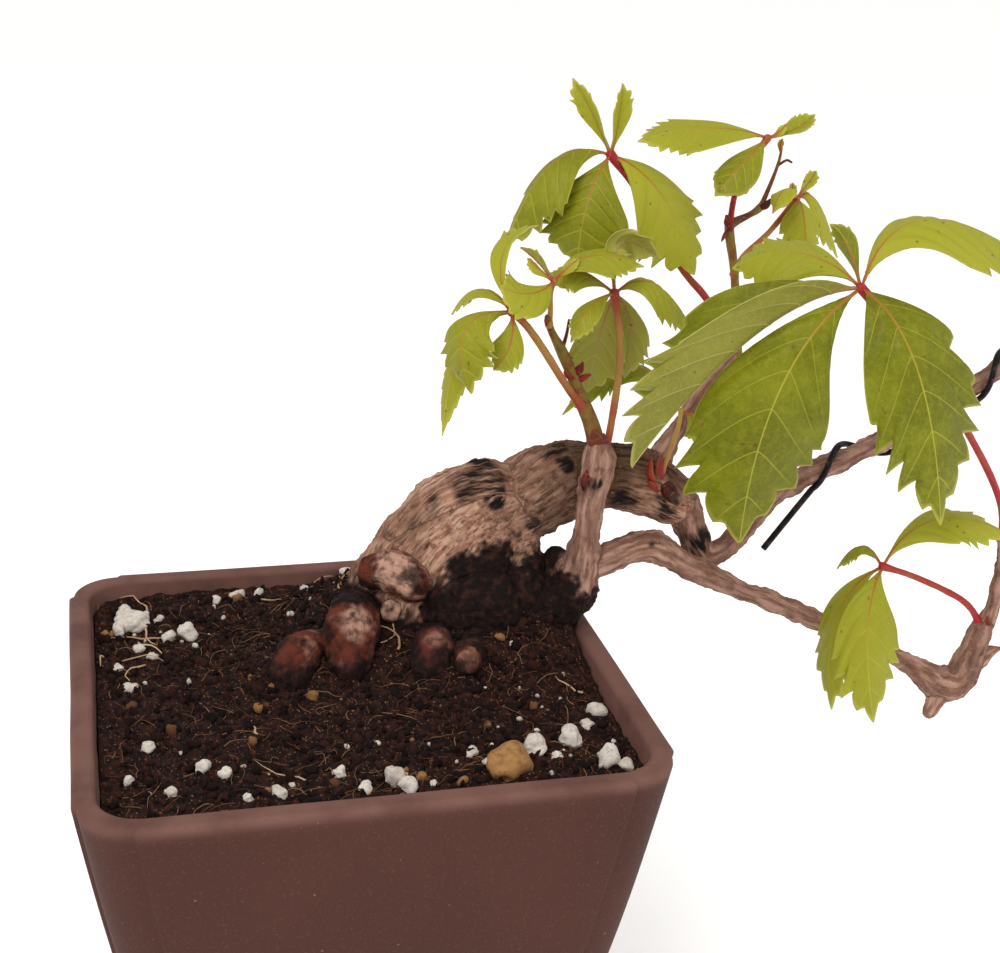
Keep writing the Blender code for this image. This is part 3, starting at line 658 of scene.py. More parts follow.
def strands(name, count, seed, lengths, radii, lift, curl, material, tints):
    # threads lying on the soil: each runs on in a heading that noise turns, its height from the soil
    flat, draw = scatter(count, seed)
    steps, sides = 7, 4
    heading = draw.uniform(0, 2 * math.pi, (count, 1))
    heading = heading + curl * np.cumsum(draw.normal(0, 1, (count, steps)), axis=1)
    step = draw.uniform(*lengths, (count, 1)) * mm / (steps - 1)
    x = flat[:, :1] + np.cumsum(np.cos(heading) * step, axis=1)
    y = flat[:, 1:2] + np.cumsum(np.sin(heading) * step, axis=1)
    limit = innerHalf(soil["belowRim"]) - 1.5 * mm
    x, y = np.clip(x, -limit, limit), np.clip(y, -limit, limit)
    arch = np.sin(np.linspace(0, math.pi, steps)) * draw.uniform(0, 1, (count, 1)) * lift * mm
    z = soilHeight(x, y) + arch
    z = (z + np.roll(z, 1, axis=1) + np.roll(z, -1, axis=1)) / 3
    path = np.stack([x, y, z], axis=-1)
    forward = unit(np.gradient(path, axis=1))
    side = unit(np.cross(forward, (0, 0, 1)))
    upper = np.cross(side, forward)
    angle = np.arange(sides) / sides * 2 * math.pi
    thin = np.linspace(1, 0.35, steps)[None, :, None, None] * draw.uniform(*radii, (count, 1, 1, 1)) * mm
    around = np.cos(angle)[:, None] * side[:, :, None] + np.sin(angle)[:, None] * upper[:, :, None]
    tint = draw.uniform(*tints, (count, 1, 1))
    mesh = loftMesh(name, path[:, :, None] + thin * around, attributes={"tint": tint})
    addPiece(name, mesh, [material])


def makeStrands():
    # many thin brown threads and a few long pale roots; lengths and radii in mm
    fibre = tintedMaterial("peat fibres", 0.8, *loose["tints"]["fibre"], 2 * mm, 0.05 * mm)
    strands("peat_fibres", 420, 51, (3, 12), (0.1, 0.22), 1.6, 0.35, fibre, (0, 0.7))
    rootlet = tintedMaterial("pale rootlets", 0.7, *loose["tints"]["rootlet"], 3 * mm, 0.05 * mm)
    strands("pale_rootlets", 26, 53, (8, 20), (0.25, 0.45), 2.2, 0.4, rootlet, (0.4, 1))


makeSoil()
makeCrumbs()
makeGrains()
makeStrands()
print("soil, grains and fibres made")


# Trunk, roots and branches

wood = {"voxel": 0.61 * mm, "steps": 8, "stations": 60, "sides": 40, "smoothing": 6,
        "fibreHeight": 0.065, "fibreMost": 0.95 * mm,     # a share of the limb's radius, and the most
        "broadRidge": 3.4 * mm, "narrowRidge": 1.5 * mm, "stretch": 0.13,
        "lump": 0.5 * mm, "rootLump": 0.35 * mm, "twigLump": 0.5 * mm, "crumble": 0.3 * mm,
        "plates": 0.55 * mm, "knobs": 0.5 * mm, "caking": 1 * mm, "jointSharpness": 4,
        "barkPink": "#a5745e", "barkCream": "#cfa68c", "barkGreenAndShade": "#5f4431", "barkDark": "#2b1a14",
        "twigBark": "#7a5546", "twigPale": "#bd9484",
        "twigDark": "#573327", "knobAndHollowBlack": "#1c1412", "blotch": "#54382a", "lichen": "#c4a995",
        "rootRed": "#6b3022", "rootPale": "#c99c86", "crust": "#170c0a", "crustBrown": "#3a1f17"}

trunkLimbs = {
    "trunk": [(24, 34, 94, 21), (28, 36, 106, 21), (35, 34, 120, 20), (42, 32, 128.5, 17.2),
              (50.5, 30.5, 134.5, 11.6), (60, 30, 140, 11.2), (75, 29, 143, 9.2), (87, 28, 140.5, 9),
              (95, 27, 136, 7.5)],
    "belly": [(34, 28, 106, 15), (38, 20, 110, 14)],
    "bellyFold": [(46, 22, 106, 11), (49, 20, 114, 8.5)],
    "bellyKnob": [(58, 23, 110, 7), (60, 22, 117.5, 4.4), (61, 21, 122, 2.8)],
    "underarm": [(50, 26, 134, 6), (50.5, 25, 126, 6.6), (50, 23, 117, 7.5)],
    "hump": [(25, 33, 126, 9.5), (32, 31, 134.5, 9.8), (39.5, 29.5, 137.4, 9.6), (50, 29, 138.2, 8.6)],
    "shoulder": [(56, 27, 140, 9.5), (64, 28, 144.5, 8.5), (72, 29, 145.5, 7)],
}
branchLimbs = {
    "wired": [(88, 28, 140, 6), (98, 27, 134, 5.5), (102, 27, 125, 4.6), (107, 27, 118, 3.8),
              (114, 28, 120, 3.4), (123, 29, 130, 3.1), (135, 30, 138, 3), (159, 30, 148, 2.9),
              (182, 30, 161, 2.8), (196, 30, 170, 2.7), (203, 30, 175, 2.6)],
    "upright": [(88, 28, 140, 5), (96, 31, 152, 2.8), (106, 35, 164, 2.3), (115, 36, 175, 2)],
    "second": [(42, 24, 101, 11), (53, 20, 107, 9.5), (63, 15.5, 113, 6.4), (66, 15.5, 121, 5.2),
               (67, 14, 131, 3.7), (68, 14, 141, 3.7), (69.6, 14.8, 149, 4.1), (70.1, 15.3, 154, 4.2)],
    "lower": [(64, 16, 121, 4), (73, 16, 123, 3.9), (84, 17, 126, 4.6), (90, 18, 124, 4.6),
              (97, 18, 119.5, 3.5), (108, 17, 114, 3), (131, 13, 104, 2.8), (161, 6, 90, 2.8),
              (171, 3.5, 83, 4.2), (178, 2, 84, 4.2), (180, 1, 92, 3.4), (182, 0, 101, 3)],
    "spur": [(173, 3, 82, 3.6), (170, 2, 74.5, 2)],
    "stub": [(180, 1, 90, 3), (186, 2, 92, 2.1), (189, 2.5, 93, 1.7)],
    "twig": [(181, 0.5, 98, 2.6), (184.5, 0, 109, 2.1), (185.5, 0, 120, 1.8), (184, 0, 130, 1.7)],
}
rootLimbs = {
    "paleLump": [(11.5, 25, 120.5, 4.6), (16, 21.5, 121, 6), (20.5, 18.8, 119, 5.4)],
    "leftTuber": [(8.5, 26, 107.5, 5), (4.5, 20, 109, 6.8), (2.8, 13, 107, 7.2), (1.5, 7, 102, 5.5)],
    "farTuber": [(-7, 16, 103.5, 4.6), (-11.5, 9.5, 104.6, 5.2), (-15, 3, 101.5, 4.6)],
    "frontTuber": [(26, 9.5, 103.6, 5.8), (23.6, 3.8, 104.8, 5.5), (22, -0.6, 102.4, 4.9)],
    "cutRoot": [(34, 6, 104, 4.5), (32, 0, 104.6, 4), (30.8, -4, 105, 3.4)],
    "stubRoot": [(21, 27, 107, 4), (17, 23, 109.5, 3.2), (15.2, 20, 111, 2.7)],
    "hiddenRoots": [(30, 24, 100, 9), (12, 16, 99, 7), (-2, 12, 99, 5)],
}
# Rings and dishes left by buds and cuts: (x, y, z), radius and height in mm
scars = [((68.2, 10.6, 151), 1.7, 0.9), ((30, -7, 106.8), 2.5, 1), ((14.6, 18, 111.8), 2.2, 0.5),
         ((172, 0, 87), 2.2, 0.5), ((86, 13, 128), 2, 0.3)]
# Swollen joints round thin limbs: (x, y, z), reach and height in mm
joints = [((39.2, 27.5, 146.5), 3.4, 1.4), ((66.5, 14, 127.5), 2.2, 0.7), ((67, 14, 139), 1.6, 0.35),
          ((64, 15, 119), 2, 0.5), ((69.5, 15, 149), 2.4, 0.5), ((176, 2, 86), 3.5, 0.8),
          ((181, 0.5, 98), 2.2, 0.6), ((185, 0, 114), 1.6, 0.4), ((104, 35, 163), 1.5, 0.35),
          ((123, 29, 130), 2, 0.4), ((147, 30, 143), 1.8, 0.3), ((110, 16.5, 113), 2, 0.3),
          ((131, 13, 104), 1.8, 0.25), ((172, 30, 155), 1.8, 0.35)]
# Blackened knobbly bark: (x, y, z) and reach in mm
blackBark = [((39, 25, 147.5), 6.5), ((42, 20.5, 142), 4.5), ((36.5, 24, 142.5), 4.5),
             ((60.5, 25, 151.5), 4), ((62, 21.5, 149.5), 3), ((27.5, 26, 139), 3),
             ((24, 28, 136.5), 2.8), ((80, 19, 139), 5), ((93, 22, 138), 5), ((53.5, 19, 133), 3),
             ((102, 24, 124), 5), ((68, 10.8, 147.6), 1.8)]
# Where the roots' skin is pale, some of it rubbed pale and some, on the tops of the tubers, a painted
# highlight: (x, y, z), reach in mm and how pale
paleSkinAndHighlights = [((16, 18, 122.5), 7.5, 1), ((27, 14, 121), 4, 0.4), ((3.6, 9.5, 112.4), 5.5, 0.5),
            ((23.4, 2, 108.6), 4, 0.35), ((30.5, -6, 107), 3, 0.3), ((15, 19, 112), 3.5, 0.9)]
# Soil still caked on the wood: (x, y, z), and half sizes in mm
soilCrust = [((42, 8, 117), (14, 15, 16)), ((35, 11, 122), (9.5, 8, 10.5)),
             ((56, 16, 111), (11, 13, 13)), ((60.5, 21.5, 118), (5.5, 6, 7)), ((65, 14, 111), (8, 8, 7)),
             ((26, 12, 101), (20, 18, 6)), ((64, 16, 104), (9, 9, 7.5)), ((12, 22, 103), (10, 9, 5.5)),
             ((30, 13, 114), (6.5, 7, 9)), ((24, 13, 112), (6, 5, 6)), ((18, 12, 111), (6, 6, 5)),
             ((4.5, 22, 116), (7, 7, 4)), ((24, 8.5, 112.5), (6, 4.5, 3)), ((5, 20, 116), (6, 6, 3))]


def limbSamples(limb):
    # a limb's middle line and its radii at evenly counted places
    path = smoothPath(limb, wood["steps"]) * mm
    share = np.linspace(0, len(path) - 1, wood["stations"])
    path = np.column_stack([np.interp(share, np.arange(len(path)), path[:, k]) for k in range(4)])
    return path[:, :3], path[:, 3]


def limbCoordinates(points, limb):
    # For each point the sample of the limb that is nearest when distance is counted in radii.
    # Returns that distance, and the place as sideways, upwards and along the limb.
    path, radius = limbSamples(limb)
    square = (points ** 2).sum(1)[:, None] + (path ** 2).sum(1)[None] - 2 * points @ path.T
    counted = np.sqrt(np.maximum(square, 0)) / radius[None]
    nearest = counted.argmin(axis=1)
    forward, side, upper = pathFrame(path)
    offset = points - path[nearest]
    along = alongOf(path)[nearest] + (offset * forward[nearest]).sum(1)
    place = np.column_stack([(offset * side[nearest]).sum(1), (offset * upper[nearest]).sum(1), along])
    return counted[np.arange(len(points)), nearest], place, radius[nearest]


def distanceTo(points, place):
    # metres from each point to a place given in mm
    return np.linalg.norm(points - np.array(place) * mm, axis=1)


def barkMaterial():
    # Living bark of an old vine: dry grey-pink cork split along the grain with painted shade in its cracks,
    # darker green-brown towards the branch from algae and painted shade, black where it is knobbly and in the
    # hollows of scars, and thin red skin with pale patches on the roots, some of them painted highlights on
    # the tubers' tops
    material, tree, place = startMaterial("dry fissured vine bark", 0.85)
    grain = addNode(tree, "Attribute", attribute_name="grain").outputs["Vector"]
    young = paint(tree, wood["twigBark"], [
        (patches(tree, grain, 1.5 * mm, 0.4, 0.66, 4.0), 1, wood["twigPale"]),
        (patches(tree, place, 5 * mm, 0.5, 0.66, 4.0), 0.6, wood["twigDark"])])
    skin = paint(tree, wood["rootRed"], [
        # pale patches: rubbed skin, and on the tubers' tops a painted highlight
        (band(tree, "pale", 0, 0.8), 1, wood["rootPale"]),
        (patches(tree, place, 8 * mm, 0.5, 0.7, 3.0), 0.5, wood["rootPale"]),
        (patches(tree, place, 2.2 * mm, 0.42, 0.7, 5.0), 0.75, wood["crustBrown"]),
        (patches(tree, place, 6 * mm, 0.52, 0.66, 6.0), 0.85, wood["crust"])])
    crumbly = patches(tree, place, 2 * mm, 0.44, 0.72, 4.0)
    caked = paint(tree, wood["crust"], [(crumbly, 1, wood["crustBrown"])])
    knobbly = patches(tree, grain, 1.1 * mm, 0.3, 0.6, 4.0)
    blots = addNode(tree, "Math", {0: band(tree, "black", 0, 1), 1: knobbly}, operation="MULTIPLY").outputs[0]
    colour = paint(tree, wood["barkPink"], [
        (patches(tree, grain, 1.3 * mm, 0.36, 0.66, 4.0), 1, wood["barkCream"]),
        (patches(tree, place, 6 * mm, 0.5, 0.7, 3.0), 0.5, wood["twigBark"]),
        (patches(tree, place, 3 * mm, 0.56, 0.68, 5.0), 0.5, wood["blotch"]),
        # green-brown coat: algae, and painted shade on the side towards the branch
        (band(tree, "green", 0, 1), 1, wood["barkGreenAndShade"]),
        (patches(tree, grain, 0.55 * mm, 0.5, 0.66, 3.0), 0.6, wood["barkDark"]),
        (band(tree, "twig", 0, 1), 0.75, young),
        (patches(tree, place, 0.8 * mm, 0.68, 0.74, 1.0), 0.4, wood["lichen"]),
        # painted shade in the fissures
        (band(tree, "fissureShade", 0, 1), 0.9, wood["barkDark"]),
        (band(tree, "root", 0.2, 0.8), 1, skin),
        (blots, 1, wood["knobAndHollowBlack"]),
        (band(tree, "crust", 0, 1), 1, caked)])
    fibres = addNode(tree, "TexNoise", {"Vector": grain, "Scale": 1 / (0.6 * mm), "Detail": 4.0})
    pores = addNode(tree, "TexNoise", {"Vector": place, "Scale": 1 / (0.5 * mm), "Detail": 3.0})
    return finish(material, colour, [(fibres.outputs["Fac"], 0.5 * mm, 1.0),
                                     (pores.outputs["Fac"], 0.25 * mm, 0.6)])


def makeWood():
    # The limbs are round tubes, grown together by a voxel skin and rounded where they meet. Every
    # point is then pushed out by ridges that run along its limb, by lumps, scars and caked soil.
    groups = [(limb, kind) for kind, limbs in enumerate((trunkLimbs, branchLimbs, rootLimbs))
              for limb in limbs.values()]
    rings = [tubeRings(*roundEnds(*limbSamples(limb)), wood["sides"]) for limb, _ in groups]
    joined = loftMesh("limbs", np.array(rings))
    grown = bpy.data.objects.new("limbs", joined)
    bpy.context.scene.collection.objects.link(grown)
    skin = grown.modifiers.new("grown together", "REMESH")
    skin.mode, skin.voxel_size = "VOXEL", wood["voxel"]
    soften = grown.modifiers.new("rounded joins", "SMOOTH")
    soften.factor, soften.iterations = 0.6, wood["smoothing"]
    graph = bpy.context.evaluated_depsgraph_get()
    mesh = bpy.data.meshes.new_from_object(grown.evaluated_get(graph))
    mesh.name = "bark"
    bpy.data.objects.remove(grown)
    count = len(mesh.vertices)
    points, normals = np.empty(count * 3), np.empty(count * 3)
    mesh.vertices.foreach_get("co", points)
    mesh.vertices.foreach_get("normal", normals)
    points, normals = points.reshape(-1, 3), normals.reshape(-1, 3)

    weights, places, radii = [], [], []
    for limb, _ in groups:
        counted, place, radius = limbCoordinates(points, limb)
        weights.append(np.exp(-14 * np.clip(counted - 1, 0, 3)))
        places.append(place)
        radii.append(radius)
    weights = np.array(weights) + 1e-9
    weights /= weights.sum(axis=0)
    kinds = np.array([kind for _, kind in groups])
    trunkShare, twigShare, rootShare = (weights[kinds == kind].sum(axis=0) for kind in range(3))
    chosen = weights.argmax(axis=0)
    grain = np.array(places)[chosen, np.arange(count)] * (1, 1, 0.16)
    thick = (weights * np.array(radii)).sum(axis=0)

    ridges, seams = 0, 0
    for share, place in zip(weights, places):
        run = place * (1, 1, wood["stretch"])
        wavy = run + 0.5 * mm * noise(place, 6 * mm, 61)[:, None]
        broad = 1 - 2.2 * np.abs(noise(wavy, wood["broadRidge"], 62))
        narrow = 1 - 2.2 * np.abs(noise(wavy, wood["narrowRidge"], 63))
        ridges = ridges + share * (0.6 * broad + 0.4 * narrow)
        seams = seams + share * narrow
    height = np.minimum(wood["fibreHeight"] * thick, wood["fibreMost"]) * ridges
    height *= 1 - 0.75 * rootShare - 0.3 * twigShare
    height += wood["lump"] * (roughNoise(points, 9 * mm, 3, 64) * (0.5 + thick / (14 * mm)))
    height += wood["rootLump"] * rootShare * roughNoise(points, 4 * mm, 2, 65)
    height += wood["twigLump"] * twigShare * roughNoise(points, 4.5 * mm, 2, 75)
    height += wood["crumble"] * roughNoise(points, 1.6 * mm, 3, 66)
    height += wood["plates"] * trunkShare * smoothStep(0.1, 0.7, roughNoise(points, 5 * mm, 3, 76))
    # the low seams between the ridges are painted dark: painted shade in the fissures
    fissureShade = smoothStep(0.1, -0.9, seams) * 0.8 * (1 - rootShare - 0.4 * twigShare)

    black = np.zeros(count)
    for place, reach in blackBark:
        near = distanceTo(points, place) / (reach * mm) + 0.45 * noise(points, 4 * mm, 67)
        black = np.maximum(black, smoothStep(1.25, 0.55, near))
    height += black * wood["knobs"] * (0.2 + roughNoise(points, 1.8 * mm, 3, 68))
    for place, reach, raised in scars:
        away = distanceTo(points, place) / mm
        rim = np.exp(-((away - reach) / (0.28 * reach)) ** 2)
        dish = np.exp(-(away / (0.6 * reach)) ** 2)
        height += (rim - 0.9 * dish) * raised * mm
        # the hollow in the middle of each scar is painted near-black, darkest at its centre
        black = np.maximum(black, 0.9 * dish)
    for place, reach, raised in joints:
        away = distanceTo(points, place) / (2 * reach * mm)
        height += raised * mm * np.exp(-away ** wood["jointSharpness"])

    pale = np.zeros(count)
    # pale patches: rubbed skin, and on the tubers' tops a painted highlight
    for place, reach, strength in paleSkinAndHighlights:
        near = distanceTo(points, place) / (reach * mm) + 0.3 * roughNoise(points, 3 * mm, 3, 77)
        pale = np.maximum(pale, strength * smoothStep(1.2, 0.3, near))
    crust = np.zeros(count)
    for place, half in soilCrust:
        away = np.linalg.norm((points - np.array(place) * mm) / (np.array(half) * mm), axis=1)
        ragged = away + 0.26 * roughNoise(points, 6 * mm, 3, 69) + 0.16 * roughNoise(points, 1.5 * mm, 3, 70)
        crust = np.maximum(crust, smoothStep(1.14, 0.8, ragged))
    ground = soilHeight(points[:, 0], points[:, 1])
    splash = points[:, 2] - ground + 1.6 * mm * roughNoise(points, 5 * mm, 3, 71)
    potted = np.abs(points[:, :2]).max(axis=1) < innerHalf(0)
    reaching = 4.5 * mm + 3 * mm * rootShare * (1 - pale) + 2 * mm * roughNoise(points, 3 * mm, 3, 78)
    crust = np.maximum(crust, smoothStep(reaching, 0.1 * reaching, splash) * potted)
    crust *= 1 - 0.75 * pale
    caked = 0.55 + 0.55 * (1 - 2 * np.abs(noise(points, 2.2 * mm, 72))) + 0.3 * noise(points, 0.9 * mm, 73)
    height = height * (1 - 0.5 * crust) + crust * caked * wood["caking"]

    points = points + normals * height[:, None]
    mesh.vertices.foreach_set("co", points.astype(np.float32).ravel())
    mesh.polygons.foreach_set("use_smooth", np.ones(len(mesh.polygons), bool))
    # darker green-brown towards the branch: algae, and painted shade on the side away from the key light
    greenPatchiness = roughNoise(points, 15 * mm, 3, 74)
    shadedTowardBranch = smoothStep(38 * mm, 66 * mm, points[:, 0]) * trunkShare
    green = np.clip(0.1 + 0.6 * shadedTowardBranch + 0.5 * greenPatchiness, 0, 1) * (trunkShare + 0.55 * twigShare)
    stored = {"grain": grain, "root": rootShare, "twig": twigShare, "crust": crust, "black": black,
              "fissureShade": fissureShade, "green": green, "pale": pale}
    for label, values in stored.items():
        setAttribute(mesh, label, values)
    mesh.update()
    addPiece("bark_and_roots", mesh, [barkMaterial()], ["trunk_and_branches"])
    print("bark:", count, "points")


makeWood()
print("wood made")


# Training wire

wire = {"radius": 0.9 * mm, "pitch": 27.5 * mm, "turns": 2.75, "gap": 0.3 * mm, "waver": 0.12 * mm,
        "perTurn": 48, "sides": 14, "startAngle": -0.3 * math.pi, "tailEnd": (122, 21, 121),
        # the grey here is the colour of the scuffs and of a painted highlight
        "black": "#1c1719", "wearAndHighlight": "#574a48"}


def wireMaterial():
    # Anodised aluminium bonsai wire: black dyed oxide, satin, with grey patches that are scuffs and also a
    # painted highlight
    material, tree, place = startMaterial("black anodised aluminium wire", 0.38, Metallic=0.35)
    # grey patches: scuffs, and a painted highlight along the wire
    scuffsAndHighlight = patches(tree, place, 2.5 * mm, 0.48, 0.75, 5.0)
    colour = paint(tree, wire["black"], [(scuffsAndHighlight, 1, wire["wearAndHighlight"])])
    drawn = addNode(tree, "TexNoise", {"Vector": place, "Scale": 1 / (0.8 * mm), "Detail": 2.0})
    return finish(material, colour, [(drawn.outputs["Fac"], 0.06 * mm, 0.5)])


def makeWire():
    # A coil: branch centre plus reach times (cos of the turn forwards, sin upwards), led in by a
    # nearly straight tail
    branch = smoothPath(branchLimbs["wired"], 12) * mm
    along = alongOf(branch[:, :3])
    start = along[-1] - wire["turns"] * wire["pitch"]
    stations = np.linspace(start, along[-1] - 2 * wire["radius"], int(wire["turns"] * wire["perTurn"]))
    centre = np.column_stack([np.interp(stations, along, branch[:, k]) for k in range(4)])
    forward = unit(np.gradient(centre[:, :3], axis=0))
    front = unit(np.array([0.0, -1.0, 0.0]) + forward * forward[:, 1:2])
    upper = np.cross(forward, front)
    upper = upper * np.sign(upper[:, 2:3])
    angle = wire["startAngle"] + 2 * math.pi * (stations - start) / wire["pitch"]
    reach = (centre[:, 3] + wire["gap"] + wire["radius"])[:, None]
    coil = centre[:, :3] + reach * (np.cos(angle)[:, None] * front + np.sin(angle)[:, None] * upper)
    tail = smoothPath([np.array(wire["tailEnd"]) * mm, coil[0], coil[6]], 14)[:14]
    path = np.vstack([tail, coil])
    path = path + wire["waver"] * noise(path, 14 * mm, 81)[:, None]
    radius = np.full(len(path), wire["radius"])
    ends, radii = roundEnds(path, radius, 3)
    ends[:3], ends[-3:] = path[0] + (ends[:3] - path[0]) * 0.2, path[-1] + (ends[-3:] - path[-1]) * 0.2
    mesh = loftMesh("wire", tubeRings(ends, radii, wire["sides"]))
    addPiece("wound_wire", mesh, [wireMaterial()], ["training_wire"])


makeWire()
print("wire made")


# Shoots, petioles and buds

shootLook = {"sides": 18, "steps": 8, "knuckle": 1.7 * mm, "petiole": 1.1 * mm, "flare": 0.55 * mm,
             "unevenness": 0.07, "redMottle": 0.15}
# Green shoots: places with radii in mm, then how red they are from the foot to the tip
shoots = {
    "front_shoot": ([(70.3, 15.5, 151, 2.9), (70.3, 15.8, 154.1, 2.7), (68, 17.5, 162, 2.2),
                     (65, 18, 169, 1.9), (62, 17, 176, 1.6), (58.5, 16, 183, 1.5), (55, 14, 189, 1),
                     (53.5, 12.5, 193, 0.9)], [0.75, 0.45, 0.3, 0.2, 0.3]),
    "back_shoot": ([(115, 36, 173, 1.9), (115, 36, 177.1, 1.6), (114, 36, 187, 1.25),
                    (113, 37, 198, 1.2), (111, 38, 209, 1.35), (112, 38, 211, 1.3), (117, 39, 213, 0.85),
                    (120, 40, 214.5, 1.1), (121.4, 40.3, 217, 0.7), (124, 41.2, 223, 0.5),
                    (125.4, 41.7, 227, 0.45), (126, 42, 230.5, 0.35)],
                   [0.7, 0.25, 0.3, 0.3, 0.8, 0.2, 0.5, 0.3, 0.3]),
}
# Petioles: the way from the parent's axis to the hub, and how red they are from foot to hub
petioles = {
    "leaf_a": ([(185, 0, 126), (184, 0, 130.5), (180, -3, 141), (169, -8, 157), (147, -15, 184),
                (125, -17, 206)], [1, 0.95, 0.9, 0.85, 0.95]),
    "leaf_c": ([(115, 37, 174), (115, 37, 178), (105, 38, 191), (98, 39, 199), (85, 39, 219),
                (76, 38, 230)], [0.9, 0.85, 0.8, 0.8, 0.95]),
    "leaf_d": ([(71, 16, 152), (73.4, 19, 156.5), (75, 20, 166), (75.5, 19, 177), (74.5, 17.5, 187),
                (72, 16, 198)], [1, 0.75, 0.35, 0.4, 0.9]),
    "leaf_e": ([(66, 18, 166), (59, 13.5, 175), (52, 8, 185), (46, 3.5, 193), (41, 1, 198)],
               [0.95, 0.55, 0.35, 0.45, 0.85]),
    "leaf_f": ([(54, 13, 191), (54, 12.2, 194.8), (53.5, 11, 199.5), (54, 10, 203)], [0.3, 0.3, 0.5]),
    "leaf_g": ([(111, 38, 210), (111.5, 37.5, 218), (113.5, 37.5, 225), (120, 38, 234)],
               [0.95, 0.9, 0.6, 0.8]),
    "leaf_h": ([(113, 37, 197), (117, 41, 201), (125, 43.5, 207), (133, 45, 216)], [0.7, 0.4, 0.5, 0.8]),
    "leaf_i": ([(182, 0, 101), (176, -1, 109), (168, -2, 114.5), (157, -2.5, 120), (147, -3, 124)],
               [1, 0.9, 0.8, 0.8, 0.9]),
    "leaf_j": ([(90, 21, 145), (91, 19, 152), (95, 24, 157.5), (97, 28, 161)], [0.7, 0.2, 0.15, 0.3]),
}
# The finer stalks, as a share of the usual width
stalkWidths = {"leaf_f": 0.7, "leaf_g": 0.8, "leaf_h": 0.8, "leaf_i": 0.9, "leaf_j": 0.62}
# Resting buds, listed like the shoots
buds = {
    "bud_by_leaf_j": ([(89, 20.5, 143.6, 0.8), (90.6, 19.9, 142.2, 1.9), (91.9, 19.4, 140.9, 2.3),
                       (93.2, 19, 139.4, 1.6), (94, 18.8, 138.4, 0.5)], [0.5, 0.2, 0]),
    "bud_on_second_stem": ([(66.6, 12.6, 150.6, 0.8), (65.6, 11.6, 149.2, 1.1), (65, 11, 147.6, 1.1),
                            (64.8, 10.8, 146, 0.4)], [0.8, 0.4, 0.1]),
    "bud_on_back_shoot": ([(111, 36.5, 210, 0.8), (109.7, 35.8, 211.6, 1.2), (109, 35.5, 213.4, 0.5)],
                          [0.9, 0.7]),
    "bud_on_back_branch": ([(120, 40, 214.5, 0.8), (121.6, 39.2, 215.6, 1.1), (122.6, 38.8, 217, 0.4)],
                           [0.3, 0.3]),
    "tendril": ([(125.2, 41.6, 226, 0.4), (127.4, 41.2, 227.4, 0.35), (129, 41.4, 226.8, 0.3)],
                [0.3, 0.3]),
    "bud_on_front_shoot": ([(62, 17, 176, 0.7), (63.6, 16.4, 177.6, 1.2), (64.4, 16, 179.4, 0.4)],
                           [0.8, 0.6]),
    "tendril_stump": ([(58.5, 16, 183, 0.6), (59.8, 16.6, 187, 0.45), (60.4, 16.8, 191, 0.3)],
                      [0.7, 0.3]),
}


def stemMaterial(name, green, brown, red):
    # Soft young stem: waxy skin over juicy tissue, red where the sun and the joints colour it
    material, tree, place = startMaterial(name, 0.45, Subsurface_Weight=0.1, Subsurface_Scale=1.5 * mm)
    colour = paint(tree, green, [
        (patches(tree, place, 3 * mm, 0.4, 0.65, 3.0), 1, brown),
        (band(tree, "red", 0, 1), 1, red),
        (patches(tree, place, 0.6 * mm, 0.66, 0.74, 1.0), 0.3, "#d2b48c")])
    lines = addNode(tree, "TexNoise", {"Vector": place, "Scale": 1 / (0.7 * mm), "Detail": 2.0})
    return finish(material, colour, [(lines.outputs["Fac"], 0.08 * mm, 0.5)])


def makeStem(name, listed, reds, radius, material, replaced=()):
    # a tube along a smooth path, a little lumpy, its redness read along the way
    path = smoothPath(listed, shootLook["steps"])
    path, radii = roundEnds(path[:, :3] * mm, radius(path))
    rings = tubeRings(path, radii, shootLook["sides"])
    centre = path[:, None]
    swell = 1 + shootLook["unevenness"] * roughNoise(rings, 3 * mm, 2, 91)[..., None]
    red = np.interp(np.linspace(0, 1, len(path)), np.linspace(0, 1, len(reds)), reds)
    red = red[:, None] + shootLook["redMottle"] * noise(rings, 5 * mm, 92)
    mesh = loftMesh(name, centre + (rings - centre) * swell, attributes={"red": np.clip(red, 0, 1)})
    return addPiece(name, mesh, [material], replaced)


def listedRadius(path):
    return path[:, 3] * mm


def petioleRadius(path):
    # even along the stalk, flared at the foot and swollen into a knuckle at the hub
    share = np.linspace(0, 1, len(path))
    flare = shootLook["flare"] * np.exp(-(share / 0.09) ** 2)
    hub = (shootLook["knuckle"] - shootLook["petiole"]) * 0.7 * np.exp(-((1 - share) / 0.06) ** 2)
    return shootLook["petiole"] * (0.95 - 0.1 * share) + flare + hub


def makeStems():
    shootSkin = stemMaterial("green shoot skin", "#8e7c33", "#80552b", "#6d2418")
    stalkSkin = stemMaterial("red leaf stalk skin", "#b39a45", "#c08a50", "#a3262f")
    for node, (listed, reds) in shoots.items():
        makeStem(node + "_stem", listed, reds, listedRadius, shootSkin, [node])
    for leaf, (listed, reds) in petioles.items():
        makeStem(leaf + "_stalk", listed, reds, lambda path: petioleRadius(path) * stalkWidths.get(leaf, 1),
                 stalkSkin, [leaf + "_petiole"])
    budSkin = stemMaterial("dry bud scales", "#4a2018", "#2a120e", "#7c1f1c")
    for name, (listed, reds) in buds.items():
        makeStem(name, listed, reds, listedRadius, budSkin)


makeStems()
print("shoots and leaf stalks made")


# Leaves

